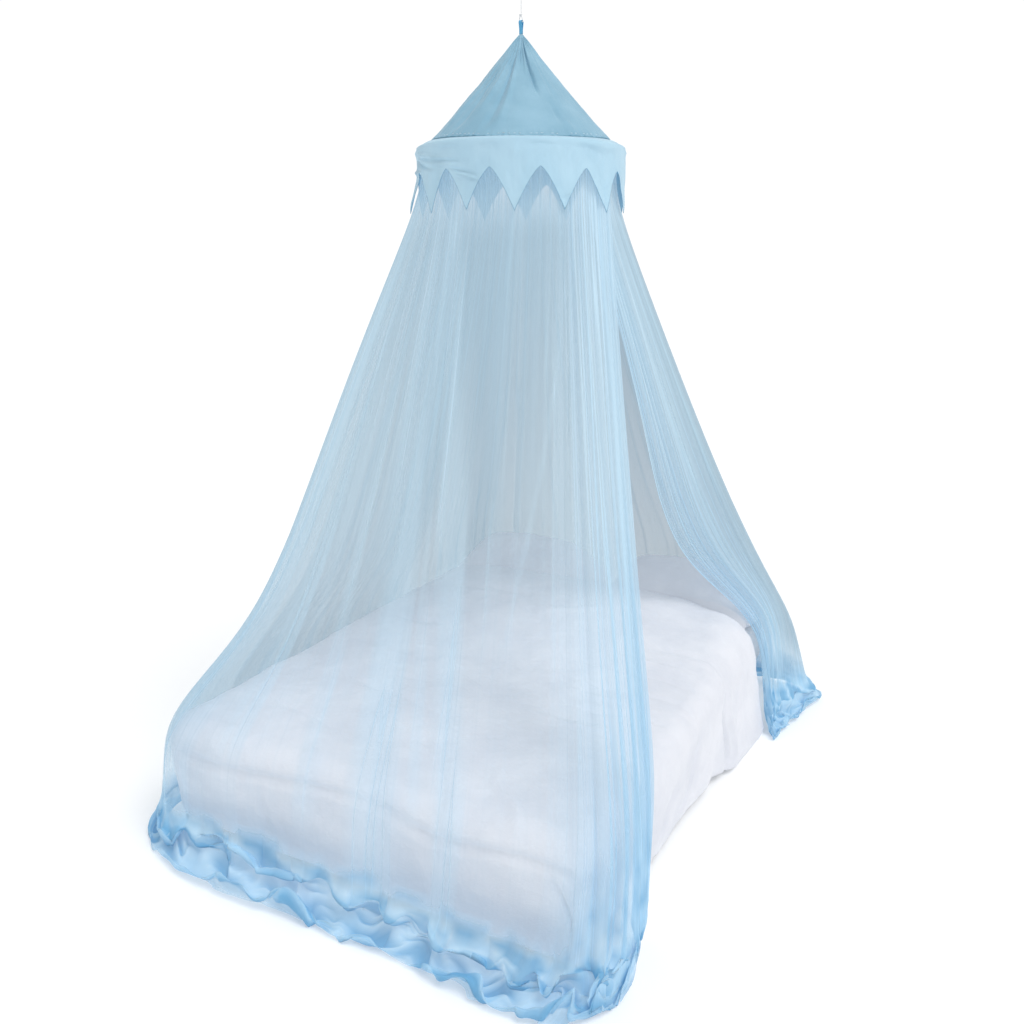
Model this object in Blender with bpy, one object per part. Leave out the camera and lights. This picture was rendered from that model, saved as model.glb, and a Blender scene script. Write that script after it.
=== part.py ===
"""Mosquito net canopy over a double bed: roof, hoop, toothed band and one sheet of netting.

Metres, +Z up. The origin is on the floor under the middle of the bed, and +Y points to its head.
Turns are degrees around the canopy's own upright axis, counterclockwise from +X.
"""

import functools
import math
from collections import namedtuple

import bmesh
import bpy
from mathutils import Vector

# The bed and its covers
BED_WIDTH = 1.46
BED_LENGTH = 1.90
BED_TOP = 0.403
MATTRESS_WIDTH = 1.35
MATTRESS_LENGTH = 1.83
MATTRESS_Y = 0.015
MATTRESS_TOP = 0.372
MATTRESS_THICKNESS = 0.19
MATTRESS_ROUNDING = 0.035
BASE_WIDTH = 1.24
BASE_LENGTH = 1.76
BASE_ROUNDING = 0.03
DUVET_THICKNESS = 0.028
DUVET_EDGE_RADIUS = 0.075
DUVET_HEAD_RADIUS = 0.190
DUVET_HEAD_Y = 0.615
DUVET_LIFT_Y = 0.43
DUVET_CROWN = 0.030
DUVET_RISE = 0.090
PILLOW_DEPTH = 0.37
PILLOW_HEIGHT = 0.22
PILLOW_Y = 0.760
PILLOW_CREST = 0.35
PILLOW_PRESS = 0.018
PILLOW_DRAW = 0.05
PILLOW_FRONT_NARROWING = 0.30
PILLOW_SEAM_HEIGHT = 0.040

# The canopy's frame and its fabric
CANOPY_X = -0.035
CANOPY_Y = 0.123
HOOP_Z = 2.113
HOOP_RADIUS = 0.331
HOOP_TUBE_RADIUS = 0.0035
ROOF_TIP_Z = 2.459
ROOF_FOOT_RADIUS = 0.292
ROOF_FOOT_Z = 2.1305
ROOF_TIP_RADIUS = 0.005
ROOF_WRINKLES = 10
ROOF_WRINKLE_DEPTH = 0.003
ROOF_COLUMNS_PER_WRINKLE = 4
ROOF_HOLLOW = 0.004
FABRIC_THICKNESS = 0.0015
SEAM_UNEVENNESS = 0.008
FRONT_TURN = -61.2
TOOTH_COUNT = 14
TOOTH_TURN = -64.8
VALLEY_DROP = 0.078
TIP_DROP = 0.201
TOOTH_COLUMNS = (0.0, 0.42, 1.0, 0.42)
VALANCE_SEAM_WIDTH = 0.016
VALANCE_RIPPLE = 0.002
VALANCE_CLEARANCE = 0.014

# The netting
NET_THICKNESS = 0.0015
NET_TOP_GAP = 0.0007
NET_TOP_Z = HOOP_Z - HOOP_TUBE_RADIUS - NET_TOP_GAP
NET_TOP_RADIUS = 0.3305
NET_BACK_TUCK = 0.016
NET_BACK_TUCK_SECTIONS = 3
NET_COLUMNS_PER_PLEAT = 4
PLEAT_UNEVENNESS = 0.35
DRAW_REACH = 0.05
SAG_SCALE = 1.72
OUTLINE_STEPS = 10

# The tape loop, the cord and the ceiling fitting
TAPE_WIDTH = 0.010
TAPE_THICKNESS = 0.0015
TAPE_EYE_RADIUS = 0.0045
TAPE_EYE_Z = 2.492
TAPE_JOINED_HEIGHT = 0.012
CORD_DIAMETER = 0.0025
CORD_LOOP_HALF_WIDTH = 0.0068
CORD_LOOP_DROP = 0.0028
CORD_TIE_HEIGHT = 0.0135
CORD_TAIL_HEIGHT = 0.020
CORD_LOOP_SHOULDER = 0.007
KNOT_STRAND_RADIUS = 0.0009
KNOT_HEIGHT = 0.0029
CORD_TOP_Z = 2.566
CEILING_Z = 2.600
FITTING_RADIUS = 0.030

TOUCH_GAP = 0.0004

# One row for each section of the netting, clockwise from its front free edge to its back free edge.
# Each falls from the hoop at turn to a knee beside the bed, then to the floor, and lies out to the
# hem. draw_in is how far it hangs in from the straight line soon below the hoop. sag_in and sag_side
# are how far its lower half sags towards the axis and counterclockwise. pleats is how many folds it
# has up to the next section.
NetSection = namedtuple(
    "NetSection", "turn draw_in sag_in sag_side knee_x knee_y knee_z floor_x floor_y hem_x hem_y pleats"
)
NET_SECTIONS = [
    NetSection(-7, 0.080, -0.012, 0.000, 0.742, -0.590, 0.42, 0.766, -0.675, 0.790, -0.735, 2),
    NetSection(-20, 0.105, -0.010, 0.000, 0.775, -0.760, 0.42, 0.805, -0.830, 0.815, -0.900, 2),
    NetSection(-33, 0.125, -0.005, 0.000, 0.768, -0.930, 0.42, 0.775, -0.985, 0.745, -1.055, 2),
    NetSection(-43, 0.125, 0.000, 0.000, 0.640, -0.990, 0.41, 0.610, -1.035, 0.580, -1.100, 1),
    NetSection(-65, 0.120, 0.010, 0.000, 0.430, -0.990, 0.41, 0.410, -1.030, 0.400, -1.085, 1),
    NetSection(-92, 0.115, 0.025, 0.000, 0.200, -0.990, 0.41, 0.190, -1.020, 0.190, -1.070, 2),
    NetSection(-112, 0.110, 0.045, 0.000, -0.120, -0.990, 0.41, -0.110, -1.020, -0.080, -1.090, 1),
    NetSection(-130, 0.105, 0.080, 0.000, -0.420, -0.990, 0.41, -0.400, -1.020, -0.370, -1.110, 1),
    NetSection(-142, 0.095, 0.115, 0.000, -0.655, -0.978, 0.40, -0.650, -1.010, -0.640, -1.060, 1),
    NetSection(-150, 0.082, 0.115, 0.000, -0.752, -0.870, 0.41, -0.785, -0.915, -0.800, -0.930, 1),
    NetSection(-165, 0.082, 0.100, 0.000, -0.770, -0.600, 0.42, -0.810, -0.620, -0.870, -0.640, 2),
    NetSection(-190, 0.085, 0.080, 0.000, -0.770, -0.100, 0.43, -0.820, -0.100, -0.920, -0.090, 2),
    NetSection(-212, 0.090, 0.060, 0.000, -0.770, 0.400, 0.45, -0.820, 0.420, -0.930, 0.460, 2),
    NetSection(-228, 0.105, 0.040, 0.000, -0.790, 0.900, 0.50, -0.840, 0.960, -0.900, 1.020, 1),
    NetSection(-245, 0.105, 0.020, 0.000, -0.560, 1.030, 0.56, -0.580, 1.080, -0.600, 1.160, 2),
    NetSection(-275, 0.090, 0.010, 0.000, 0.000, 1.040, 0.57, 0.000, 1.090, 0.000, 1.190, 2),
    NetSection(-305, 0.105, 0.010, 0.000, 0.520, 1.030, 0.54, 0.550, 1.080, 0.580, 1.150, 1),
    NetSection(-331, 0.100, 0.005, 0.000, 0.774, 0.918, 0.40, 0.860, 1.020, 0.890, 1.060, 1),
    NetSection(-348, 0.100, 0.012, 0.015, 0.768, 0.800, 0.47, 0.840, 0.830, 0.880, 0.880, 1),
    NetSection(-362, 0.115, 0.050, 0.100, 0.745, 0.700, 0.475, 0.805, 0.680, 0.850, 0.710, 2),
    NetSection(-374, 0.125, 0.075, 0.165, 0.703, 0.658, 0.46, 0.800, 0.620, 0.822, 0.570, 0),
]

# How deep the pleats are, and how far down the sheet each row lies: share is of the fall from hoop
# to knee for rows above the knee, of the drop to the floor below it, and of the lying hem after it.
NetRow = namedtuple("NetRow", "stretch share pleat_depth")
NET_ROWS = [
    NetRow("fall", 0.00, 0.0016),
    NetRow("fall", 0.10, 0.0070),
    NetRow("fall", 0.30, 0.0130),
    NetRow("fall", 0.55, 0.0175),
    NetRow("fall", 0.80, 0.0160),
    NetRow("fall", 1.00, 0.0110),
    NetRow("drop", 0.40, 0.0140),
    NetRow("drop", 0.80, 0.0150),
    NetRow("lie", 0.00, 0.0110),
    NetRow("lie", 0.50, 0.0040),
    NetRow("lie", 1.00, 0.0030),
]
NET_LIE_Z = 0.0022

# How the duvet's hanging side runs, from the right side's head end round the foot to the left one.
# hem_z is the hem's height and flare how far the hem stands out from the bed's side, or in.
DuvetHang = namedtuple("DuvetHang", "side place hem_z flare")
DUVET_HANGS = [
    DuvetHang("right", 0.62, 0.020, 0.040),
    DuvetHang("right", 0.30, 0.025, 0.030),
    DuvetHang("right", 0.12, 0.045, -0.015),
    DuvetHang("right", -0.30, 0.045, -0.035),
    DuvetHang("right", -0.88, 0.050, -0.030),
    DuvetHang("foot", 0.60, 0.060, -0.030),
    DuvetHang("foot", 0.15, 0.050, -0.035),
    DuvetHang("foot", -0.60, 0.070, -0.025),
    DuvetHang("left", -0.88, 0.060, -0.020),
    DuvetHang("left", 0.00, 0.060, -0.030),
    DuvetHang("left", 0.62, 0.045, 0.010),
]

Pillow = namedtuple("Pillow", "name x width")
PILLOWS = [
    Pillow("pillow_left", -0.335, 0.69),
    Pillow("pillow_right", 0.375, 0.67),
]


# Each piece's plain colour and roughness.
Finish = namedtuple("Finish", "node red green blue roughness alpha")
FINISHES = [
    Finish("ceiling_fitting", 0.88, 0.88, 0.86, 0.40, 1.0),
    Finish("hang_cord", 0.85, 0.86, 0.86, 0.80, 1.0),
    Finish("cord_knot", 0.85, 0.86, 0.86, 0.80, 1.0),
    Finish("tape_loop", 0.38, 0.60, 0.74, 0.75, 1.0),
    Finish("cone_roof", 0.36, 0.57, 0.70, 0.75, 1.0),
    Finish("hoop", 0.75, 0.80, 0.82, 0.45, 1.0),
    Finish("valance", 0.47, 0.71, 0.86, 0.75, 1.0),
    Finish("net", 0.45, 0.68, 0.84, 0.70, 0.5),
    Finish("bed_base", 0.70, 0.71, 0.73, 0.90, 1.0),
    Finish("mattress", 0.84, 0.84, 0.86, 0.85, 1.0),
    Finish("duvet", 0.76, 0.79, 0.84, 0.85, 1.0),
    Finish("pillow_left", 0.78, 0.81, 0.86, 0.85, 1.0),
    Finish("pillow_right", 0.78, 0.81, 0.86, 0.85, 1.0),
]


def smooth(t):
    """0 below 0, 1 above 1, and an S-shaped ramp between."""
    t = min(max(t, 0.0), 1.0)
    return t * t * (3.0 - 2.0 * t)


def spline(values, position):
    """A smooth curve through evenly numbered values, read at a fractional index."""
    last = len(values) - 1
    index = min(max(int(position), 0), last - 1)
    t = position - index
    before = values[max(index - 1, 0)]
    start = values[index]
    end = values[index + 1]
    after = values[min(index + 2, last)]
    straight = end - start
    out = 0.5 * (end - before)
    into = 0.5 * (after - start)
    return start + t * (out + t * ((3 * straight - 2 * out - into) + t * (out + into - 2 * straight)))


def around_axis(turn, radius, z):
    """A point at a turn and radius around the canopy's upright axis."""
    angle = math.radians(turn)
    return Vector((CANOPY_X + radius * math.cos(angle), CANOPY_Y + radius * math.sin(angle), z))


def finish_for(name):
    """The plain material of one piece, from the table of finishes."""
    row = next(row for row in FINISHES if row.node == name)
    made = bpy.data.materials.new(name + "_finish")
    made.use_nodes = True
    shader = made.node_tree.nodes["Principled BSDF"]
    shader.inputs["Base Color"].default_value = (row.red, row.green, row.blue, 1.0)
    shader.inputs["Roughness"].default_value = row.roughness
    shader.inputs["Metallic"].default_value = 0.0
    shader.inputs["Alpha"].default_value = row.alpha
    return made


def add_object(name, mesh, smooth_angle=40.0):
    """Puts a mesh in the scene as one named piece."""
    mesh.materials.append(finish_for(name))
    mesh.shade_smooth()
    mesh.set_sharp_from_angle(angle=math.radians(smooth_angle))
    piece = bpy.data.objects.new(name, mesh)
    bpy.context.scene.collection.objects.link(piece)
    return piece


def closed_mesh(name, shape):
    """Turns a finished bmesh into a mesh with its faces pointing out."""
    bmesh.ops.recalc_face_normals(shape, faces=shape.faces)
    mesh = bpy.data.meshes.new(name)
    shape.to_mesh(mesh)
    shape.free()
    return mesh


def grid_normals(grid, wraps):
    """The outward direction at each point of a grid of rows and columns."""
    rows, columns = len(grid), len(grid[0])
    normals = []
    for r in range(rows):
        line = []
        for c in range(columns):
            left = (c - 1) % columns if wraps else max(c - 1, 0)
            right = (c + 1) % columns if wraps else min(c + 1, columns - 1)
            across = grid[r][right] - grid[r][left]
            down = grid[min(r + 1, rows - 1)][c] - grid[max(r - 1, 0)][c]
            line.append(across.cross(down).normalized())
        normals.append(line)
    return normals


def set_back(grid, thickness, wraps=False):
    """The same grid, moved thickness inwards."""
    normals = grid_normals(grid, wraps)
    return [
        [point - normal * thickness for point, normal in zip(line, directions)]
        for line, directions in zip(grid, normals)
    ]


def closed_sheet(name, outer_grid, inner_grid, wraps=False, smooth_angle=40.0):
    """A closed shell between two grids.

    Rows run from the top down and columns clockwise seen from above, so that faces point out.
    """
    rows, columns = len(outer_grid), len(outer_grid[0])
    shape = bmesh.new()
    outer = [[shape.verts.new(point) for point in line] for line in outer_grid]
    inner = [[shape.verts.new(point) for point in line] for line in inner_grid]
    spans = columns if wraps else columns - 1
    for r in range(rows - 1):
        for c in range(spans):
            n = (c + 1) % columns
            shape.faces.new((outer[r][c], outer[r][n], outer[r + 1][n], outer[r + 1][c]))
            shape.faces.new((inner[r][c], inner[r + 1][c], inner[r + 1][n], inner[r][n]))
    for c in range(spans):
        n = (c + 1) % columns
        shape.faces.new((outer[0][n], outer[0][c], inner[0][c], inner[0][n]))
        shape.faces.new((outer[-1][c], outer[-1][n], inner[-1][n], inner[-1][c]))
    if not wraps:
        for r in range(rows - 1):
            shape.faces.new((outer[r][0], outer[r + 1][0], inner[r + 1][0], inner[r][0]))
            shape.faces.new((outer[r + 1][-1], outer[r][-1], inner[r][-1], inner[r + 1][-1]))
    return add_object(name, closed_mesh(name, shape), smooth_angle)


def turned_solid(name, profile, steps, centre):
    """A lathe shape from (radius, z) points, with flat discs closing its two ends."""
    shape = bmesh.new()
    rings = []
    for radius, z in profile:
        ring = []
        for step in range(steps):
            angle = 2 * math.pi * step / steps
            place = (centre[0] + radius * math.cos(angle), centre[1] + radius * math.sin(angle), z)
            ring.append(shape.verts.new(place))
        rings.append(ring)
    for lower, upper in zip(rings, rings[1:]):
        for step in range(steps):
            following = (step + 1) % steps
            shape.faces.new((lower[step], lower[following], upper[following], upper[step]))
    shape.faces.new(rings[0][::-1])
    shape.faces.new(rings[-1])
    return add_object(name, closed_mesh(name, shape))


def ring_solid(name, centre, major, minor, steps, sides):
    """A round ring lying level."""
    bpy.ops.mesh.primitive_torus_add(
        major_segments=steps,
        minor_segments=sides,
        major_radius=major,
        minor_radius=minor,
        location=centre,
    )
    ring = bpy.context.object
    ring.name = name
    ring.data.materials.append(finish_for(name))
    ring.data.shade_smooth()
    return ring


def rounded_block(name, size, bottom_z, centre_y, rounding):
    """A box with rounded upright corners and softened top and bottom edges."""
    bpy.ops.mesh.primitive_cube_add(size=1.0, location=(0.0, centre_y, bottom_z + size[2] / 2))
    block = bpy.context.object
    block.name = name
    block.scale = size
    bpy.ops.object.transform_apply(location=False, rotation=False, scale=True)
    bevel = block.modifiers.new("rounding", "BEVEL")
    bevel.width = rounding
    bevel.segments = 3
    block.data.materials.append(finish_for(name))
    return block


def seam_lift(turn):
    """The roof seam rides a little higher at the band's two sides than in front and behind."""
    return -SEAM_UNEVENNESS * math.cos(math.radians(2 * (turn - FRONT_TURN)))


def cone_roof():
    """The gathered fabric cone, hollow, closed at its tip, standing on the band's seam."""
    columns = ROOF_WRINKLES * ROOF_COLUMNS_PER_WRINKLE
    shares = [0.0, 0.25, 0.6, 0.88, 1.0]
    grid = []
    for share in shares:
        line = []
        for column in range(columns):
            turn = -360.0 * column / columns
            foot_z = ROOF_FOOT_Z + seam_lift(turn)
            radius = ROOF_TIP_RADIUS + (ROOF_FOOT_RADIUS - ROOF_TIP_RADIUS) * share
            wave = math.cos(2 * math.pi * ROOF_WRINKLES * column / columns + 2.0 * share)
            radius += (ROOF_WRINKLE_DEPTH * wave - ROOF_HOLLOW) * math.sin(math.pi * share)
            z = ROOF_TIP_Z + (foot_z - ROOF_TIP_Z) * share
            line.append(around_axis(turn, radius, z))
        grid.append(line)
    return closed_sheet("cone_roof", grid, set_back(grid, FABRIC_THICKNESS, wraps=True), wraps=True)


def tooth_drop(column):
    """How far the band's lower edge hangs under the hoop at one of a tooth's columns."""
    return VALLEY_DROP + (TIP_DROP - VALLEY_DROP) * TOOTH_COLUMNS[column % len(TOOTH_COLUMNS)]


@functools.cache
def net_outline(z):
    """The net's outline without pleats at a height near the hoop, as turns and distances from the axis."""
    outline = []
    for step in range(OUTLINE_STEPS * (len(NET_SECTIONS) - 1) + 1):
        position = step / OUTLINE_STEPS
        share = (NET_TOP_Z - z) / (NET_TOP_Z - section_value("knee_z", position))
        above, below = next(pair for pair in zip(NET_ROWS, NET_ROWS[1:]) if share < pair[1].share)
        way = (share - above.share) / (below.share - above.share)
        place = net_rest_point(position, above).lerp(net_rest_point(position, below), way)
        x = place.x - CANOPY_X
        y = place.y - CANOPY_Y
        outline.append((math.degrees(math.atan2(y, x)), math.hypot(x, y)))
    return outline


def net_reach(turn, z):
    """How far from the axis the net hangs near a turn, at a height just under the hoop."""
    near = [reach for at, reach in net_outline(z) if abs((at - turn + 180.0) % 360.0 - 180.0) < 5.0]
    return max(near)


def valance():
    """The band that rolls over the hoop and hangs in pointed teeth."""
    columns = TOOTH_COUNT * len(TOOTH_COLUMNS)
    outer = HOOP_RADIUS + HOOP_TUBE_RADIUS + 2 * TOUCH_GAP + FABRIC_THICKNESS
    over_z = HOOP_Z + HOOP_TUBE_RADIUS + 2 * FABRIC_THICKNESS + TOUCH_GAP
    under_z = HOOP_Z - 2 * HOOP_TUBE_RADIUS
    valley_z = HOOP_Z - VALLEY_DROP
    grid = [[] for _ in range(8)]
    for column in range(columns):
        turn = TOOTH_TURN - 360.0 * (column / columns) + 180.0 / TOOTH_COUNT
        lift = seam_lift(turn)
        seam_z = ROOF_FOOT_Z - FABRIC_THICKNESS + lift
        edge_z = HOOP_Z - tooth_drop(column)
        hang = outer + VALANCE_RIPPLE * math.sin(math.radians(5 * turn))
        profile = [
            (ROOF_FOOT_RADIUS - 0.006, seam_z),
            (ROOF_FOOT_RADIUS - 0.006 + VALANCE_SEAM_WIDTH, seam_z - TOUCH_GAP),
            (HOOP_RADIUS - 0.001, over_z + 0.10 * lift),
            (outer, HOOP_Z + HOOP_TUBE_RADIUS + 0.001),
            (outer, under_z),
            (hang, valley_z + 0.034),
            (hang, valley_z + 0.006 - 0.4 * (valley_z - edge_z)),
            (hang + 0.002, edge_z),
        ]
        for row, (radius, z) in enumerate(profile):
            if z < under_z:
                radius = max(radius, net_reach(turn, z) + VALANCE_CLEARANCE)
            grid[row].append(around_axis(turn, radius, z))
    return closed_sheet("valance", grid, set_back(grid, FABRIC_THICKNESS, wraps=True), wraps=True)


def section_value(column, position):
    """A column of the netting's table, read at a fractional section number."""
    return spline([getattr(section, column) for section in NET_SECTIONS], position)


def net_section_points(position):
    """Hoop point, knee, floor point and hem point of the netting at a fractional section number."""
    tuck_start = len(NET_SECTIONS) - 1 - NET_BACK_TUCK_SECTIONS
    tucked = NET_BACK_TUCK * smooth((position - tuck_start) / NET_BACK_TUCK_SECTIONS)
    hoop_point = around_axis(section_value("turn", position), NET_TOP_RADIUS - tucked, NET_TOP_Z)
    knee = Vector([section_value("knee_" + axis, position) for axis in "xyz"])
    floor = Vector([section_value("floor_" + axis, position) for axis in "xy"]).to_3d()
    hem = Vector([section_value("hem_" + axis, position) for axis in "xy"]).to_3d()
    return hoop_point, knee, floor, hem


def net_rest_point(position, row):
    """A point of the smooth sheet, before its pleats, for a section number and a row."""
    hoop_point, knee, floor, hem = net_section_points(position)
    if row.stretch == "drop":
        return knee.lerp(floor, row.share)
    if row.stretch == "lie":
        place = floor.lerp(hem, row.share)
        place.z = NET_LIE_Z
        return place
    place = hoop_point.lerp(knee, row.share)
    run = (knee - hoop_point).to_2d().normalized()
    drawn = (1.0 - math.exp(-row.share / DRAW_REACH)) * (1.0 - row.share ** 4)
    sagged = SAG_SCALE * row.share ** 2 * (1.0 - row.share ** 10)
    inward = section_value("draw_in", position) * drawn + section_value("sag_in", position) * sagged
    sideways = section_value("sag_side", position) * sagged
    place.x += -run.x * inward - run.y * sideways
    place.y += -run.y * inward + run.x * sideways
    return place


def net_columns():
    """Each column's fractional section number and its place in the run of pleats, in pleats."""
    columns = []
    pleats_so_far = 0
    for index, section in enumerate(NET_SECTIONS[:-1]):
        steps = section.pleats * NET_COLUMNS_PER_PLEAT
        for step in range(steps):
            columns.append((index + step / steps, pleats_so_far + step / NET_COLUMNS_PER_PLEAT))
        pleats_so_far += section.pleats
    columns.append((len(NET_SECTIONS) - 1, pleats_so_far))
    return columns


def pleat_offset(row, direction, phase):
    """How far a point of the netting stands off its smooth sheet, in its pleat's direction."""
    depth = row.pleat_depth * (1.0 + PLEAT_UNEVENNESS * math.sin(1.7 * phase))
    wave = math.cos(2 * math.pi * phase)
    if row.stretch == "lie":
        return Vector((0.0, 0.0, depth * (1.0 + wave)))
    if row.share == 0.0:
        direction = Vector((direction.x, direction.y, 0.0)).normalized()
    return direction * depth * wave


def net():
    """The one sheet of netting, with its main pleats, from under the hoop to the hem on the floor."""
    columns = net_columns()
    rest = [[net_rest_point(position, row) for position, _ in columns] for row in NET_ROWS]
    grid = []
    for row, line, directions in zip(NET_ROWS, rest, grid_normals(rest, wraps=False)):
        pleated = []
        for place, direction, (_, phase) in zip(line, directions, columns):
            pleated.append(place + pleat_offset(row, direction, phase))
        grid.append(pleated)
    return closed_sheet("net", grid, set_back(grid, NET_THICKNESS), smooth_angle=60.0)


def hoop():
    """The ring that spreads the roof, the band and the net."""
    return ring_solid("hoop", (CANOPY_X, CANOPY_Y, HOOP_Z), HOOP_RADIUS, HOOP_TUBE_RADIUS, 56, 8)


def tape_side(half_slit, radius):
    """One face of the tape seen along its width: up one leg, round the eye and down the other."""
    foot_z = ROOF_TIP_Z + TOUCH_GAP
    joined_z = foot_z + TAPE_JOINED_HEIGHT
    arc = [math.pi * step / 10 for step in range(11)]
    side = [(half_slit, foot_z), (half_slit, joined_z)]
    side += [(radius * math.cos(angle), TAPE_EYE_Z + radius * math.sin(angle)) for angle in arc]
    side += [(-half_slit, joined_z), (-half_slit, foot_z)]
    return side


def tape_loop():
    """A loop of tape, its two ends standing on the roof's closed tip."""
    half_slit = TOUCH_GAP / 2
    faces = []
    for depth in (TAPE_THICKNESS, 0.0):
        side = tape_side(half_slit + depth, TAPE_EYE_RADIUS + depth)
        edges = (CANOPY_X - TAPE_WIDTH / 2, CANOPY_X + TAPE_WIDTH / 2)
        faces.append([[Vector((x, CANOPY_Y + y, z)) for x in edges] for y, z in side])
    return closed_sheet("tape_loop", faces[0], faces[1])


def cord_route():
    """The cord's middle line: tail, round the tape's arch, back to the tail, up to the ceiling."""
    arch_z = TAPE_EYE_Z + TAPE_EYE_RADIUS + TAPE_THICKNESS / 2
    tail_x = -(CORD_DIAMETER + TOUCH_GAP)
    shoulder_z = arch_z + CORD_LOOP_SHOULDER
    tie_z = arch_z + CORD_TIE_HEIGHT
    straight_z = arch_z + CORD_TAIL_HEIGHT
    route = [(tail_x, straight_z), (tail_x, tie_z), (-0.82 * CORD_LOOP_HALF_WIDTH, shoulder_z)]
    steps = 12
    for step in range(steps + 1):
        angle = math.pi * step / steps
        x = -math.copysign(CORD_LOOP_HALF_WIDTH * math.sqrt(abs(math.cos(angle))), math.cos(angle))
        route.append((x, arch_z - CORD_LOOP_DROP * math.sqrt(math.sin(angle))))
    route += [(0.68 * CORD_LOOP_HALF_WIDTH, shoulder_z), (0.0, tie_z), (0.0, straight_z)]
    rising = 10
    for step in range(1, rising + 1):
        route.append((0.0, straight_z + (CORD_TOP_Z - straight_z) * step / rising))
    return [(CANOPY_X + x, CANOPY_Y, z) for x, z in route]


def hang_cord():
    """The white cord as one round tube along its route."""
    route = cord_route()
    curve = bpy.data.curves.new("hang_cord", "CURVE")
    curve.dimensions = "3D"
    curve.bevel_depth = CORD_DIAMETER / 2
    curve.bevel_resolution = 2
    curve.use_fill_caps = True
    line = curve.splines.new("POLY")
    line.points.add(len(route) - 1)
    for point, place in zip(line.points, route):
        point.co = (*place, 1.0)
    curve.materials.append(finish_for("hang_cord"))
    cord = bpy.data.objects.new("hang_cord", curve)
    bpy.context.scene.collection.objects.link(cord)
    return cord


def cord_knot():
    """The knot that holds the cord's tail to its standing part: a tight oval collar round both."""
    arch_z = TAPE_EYE_Z + TAPE_EYE_RADIUS + TAPE_THICKNESS / 2
    knot_z = arch_z + (CORD_TIE_HEIGHT + CORD_TAIL_HEIGHT) / 2
    half_pitch = (CORD_DIAMETER + TOUCH_GAP) / 2
    ring_radius = CORD_DIAMETER / 2 + TOUCH_GAP + KNOT_STRAND_RADIUS
    knot = ring_solid("cord_knot", (0.0, 0.0, 0.0), ring_radius, KNOT_STRAND_RADIUS, 24, 8)
    for vertex in knot.data.vertices:
        if abs(vertex.co.x) > 1e-6:
            vertex.co.x += math.copysign(half_pitch, vertex.co.x)
        vertex.co.z *= KNOT_HEIGHT / (2 * KNOT_STRAND_RADIUS)
        vertex.co += Vector((CANOPY_X - half_pitch, CANOPY_Y, knot_z))
    return knot


def ceiling_fitting():
    """The small cup screwed to the ceiling, with the nub that the cord goes into."""
    profile = [
        (0.0040, CORD_TOP_Z + TOUCH_GAP),
        (0.0055, CORD_TOP_Z + 0.003),
        (0.0065, CORD_TOP_Z + 0.010),
        (0.60 * FITTING_RADIUS, CEILING_Z - 0.012),
        (FITTING_RADIUS, CEILING_Z - 0.005),
        (FITTING_RADIUS, CEILING_Z),
    ]
    return turned_solid("ceiling_fitting", profile, 28, (CANOPY_X, CANOPY_Y))


def duvet_top(x, y):
    """The duvet's upper face: flat at the foot, crowned, and rising over the pillows' front."""
    along = min(max((y + BED_LENGTH / 2) / BED_LENGTH, 0.0), 1.0)
    crown = DUVET_CROWN * math.sin(math.pi * along) * (1.0 - 0.3 * smooth(along))
    rise = DUVET_RISE * smooth((y + 0.10) / (DUVET_HEAD_Y + 0.10))
    across = 1.0 - min(abs(x) / (BED_WIDTH / 2), 1.0) ** 4
    return BED_TOP + (rise + crown) * across


def hang_at(side, place, value):
    """A value of the duvet's hang table, read between its rows along one side."""
    rows = [row for row in DUVET_HANGS if row.side == side]
    rows.sort(key=lambda row: row.place)
    if place <= rows[0].place:
        return getattr(rows[0], value)
    for lower, upper in zip(rows, rows[1:]):
        if place <= upper.place:
            share = smooth((place - lower.place) / (upper.place - lower.place))
            return getattr(lower, value) * (1 - share) + getattr(upper, value) * share
    return getattr(rows[-1], value)


def edge_radius(y):
    """How round the duvet's side edges are: tight at the foot, and drooping at the head end."""
    return DUVET_EDGE_RADIUS + (DUVET_HEAD_RADIUS - DUVET_EDGE_RADIUS) * smooth((y - 0.05) / 0.5)


def duvet_point(x, y, over_x, over_y):
    """A point of the duvet's outer face.

    x and y are on its flat top, and over_x and over_y say how far past the top's edge it goes
    towards a side (-1 to 1) and towards the foot (0 to 1), 1 being the hem.
    """
    drop = max(abs(over_x), over_y)
    radius = edge_radius(y)
    x *= (BED_WIDTH / 2 - radius) / (BED_WIDTH / 2 - DUVET_EDGE_RADIUS)
    top_z = duvet_top(x, y)
    if drop == 0.0:
        return Vector((x, y, top_z))
    direction = Vector((over_x, -over_y)).normalized()
    side = "right" if over_x > 0 else "left"
    side_part = abs(direction.x) ** 2
    hem_z = hang_at(side, y, "hem_z") * side_part + hang_at("foot", x, "hem_z") * (1 - side_part)
    flare = hang_at(side, y, "flare") * side_part + hang_at("foot", x, "flare") * (1 - side_part)
    arc = 0.5 * math.pi * radius
    wall = top_z - radius - hem_z
    run = drop * (arc + wall)
    if run < arc:
        out = radius * math.sin(run / radius)
        down = radius * (1 - math.cos(run / radius))
    else:
        out = radius + flare * ((run - arc) / wall) ** 1.5
        down = radius + (run - arc)
    return Vector((x + direction.x * out, y + direction.y * out, top_z - down))


def duvet_under(x, y):
    """The duvet's underside: on the mattress, and rising near its head edge over the pillows."""
    radius = edge_radius(y)
    flat_half = BED_WIDTH / 2 - radius
    past = min(max(abs(x) - flat_half, 0.0), radius)
    top_z = duvet_top(math.copysign(min(abs(x), flat_half), x), y)
    roof_z = top_z - radius + math.sqrt(radius ** 2 - past ** 2) - DUVET_THICKNESS
    lift = smooth((y - DUVET_LIFT_Y) / (DUVET_HEAD_Y - DUVET_LIFT_Y))
    return MATTRESS_TOP + TOUCH_GAP + lift * max(roof_z - MATTRESS_TOP - TOUCH_GAP, 0.0)


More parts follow.
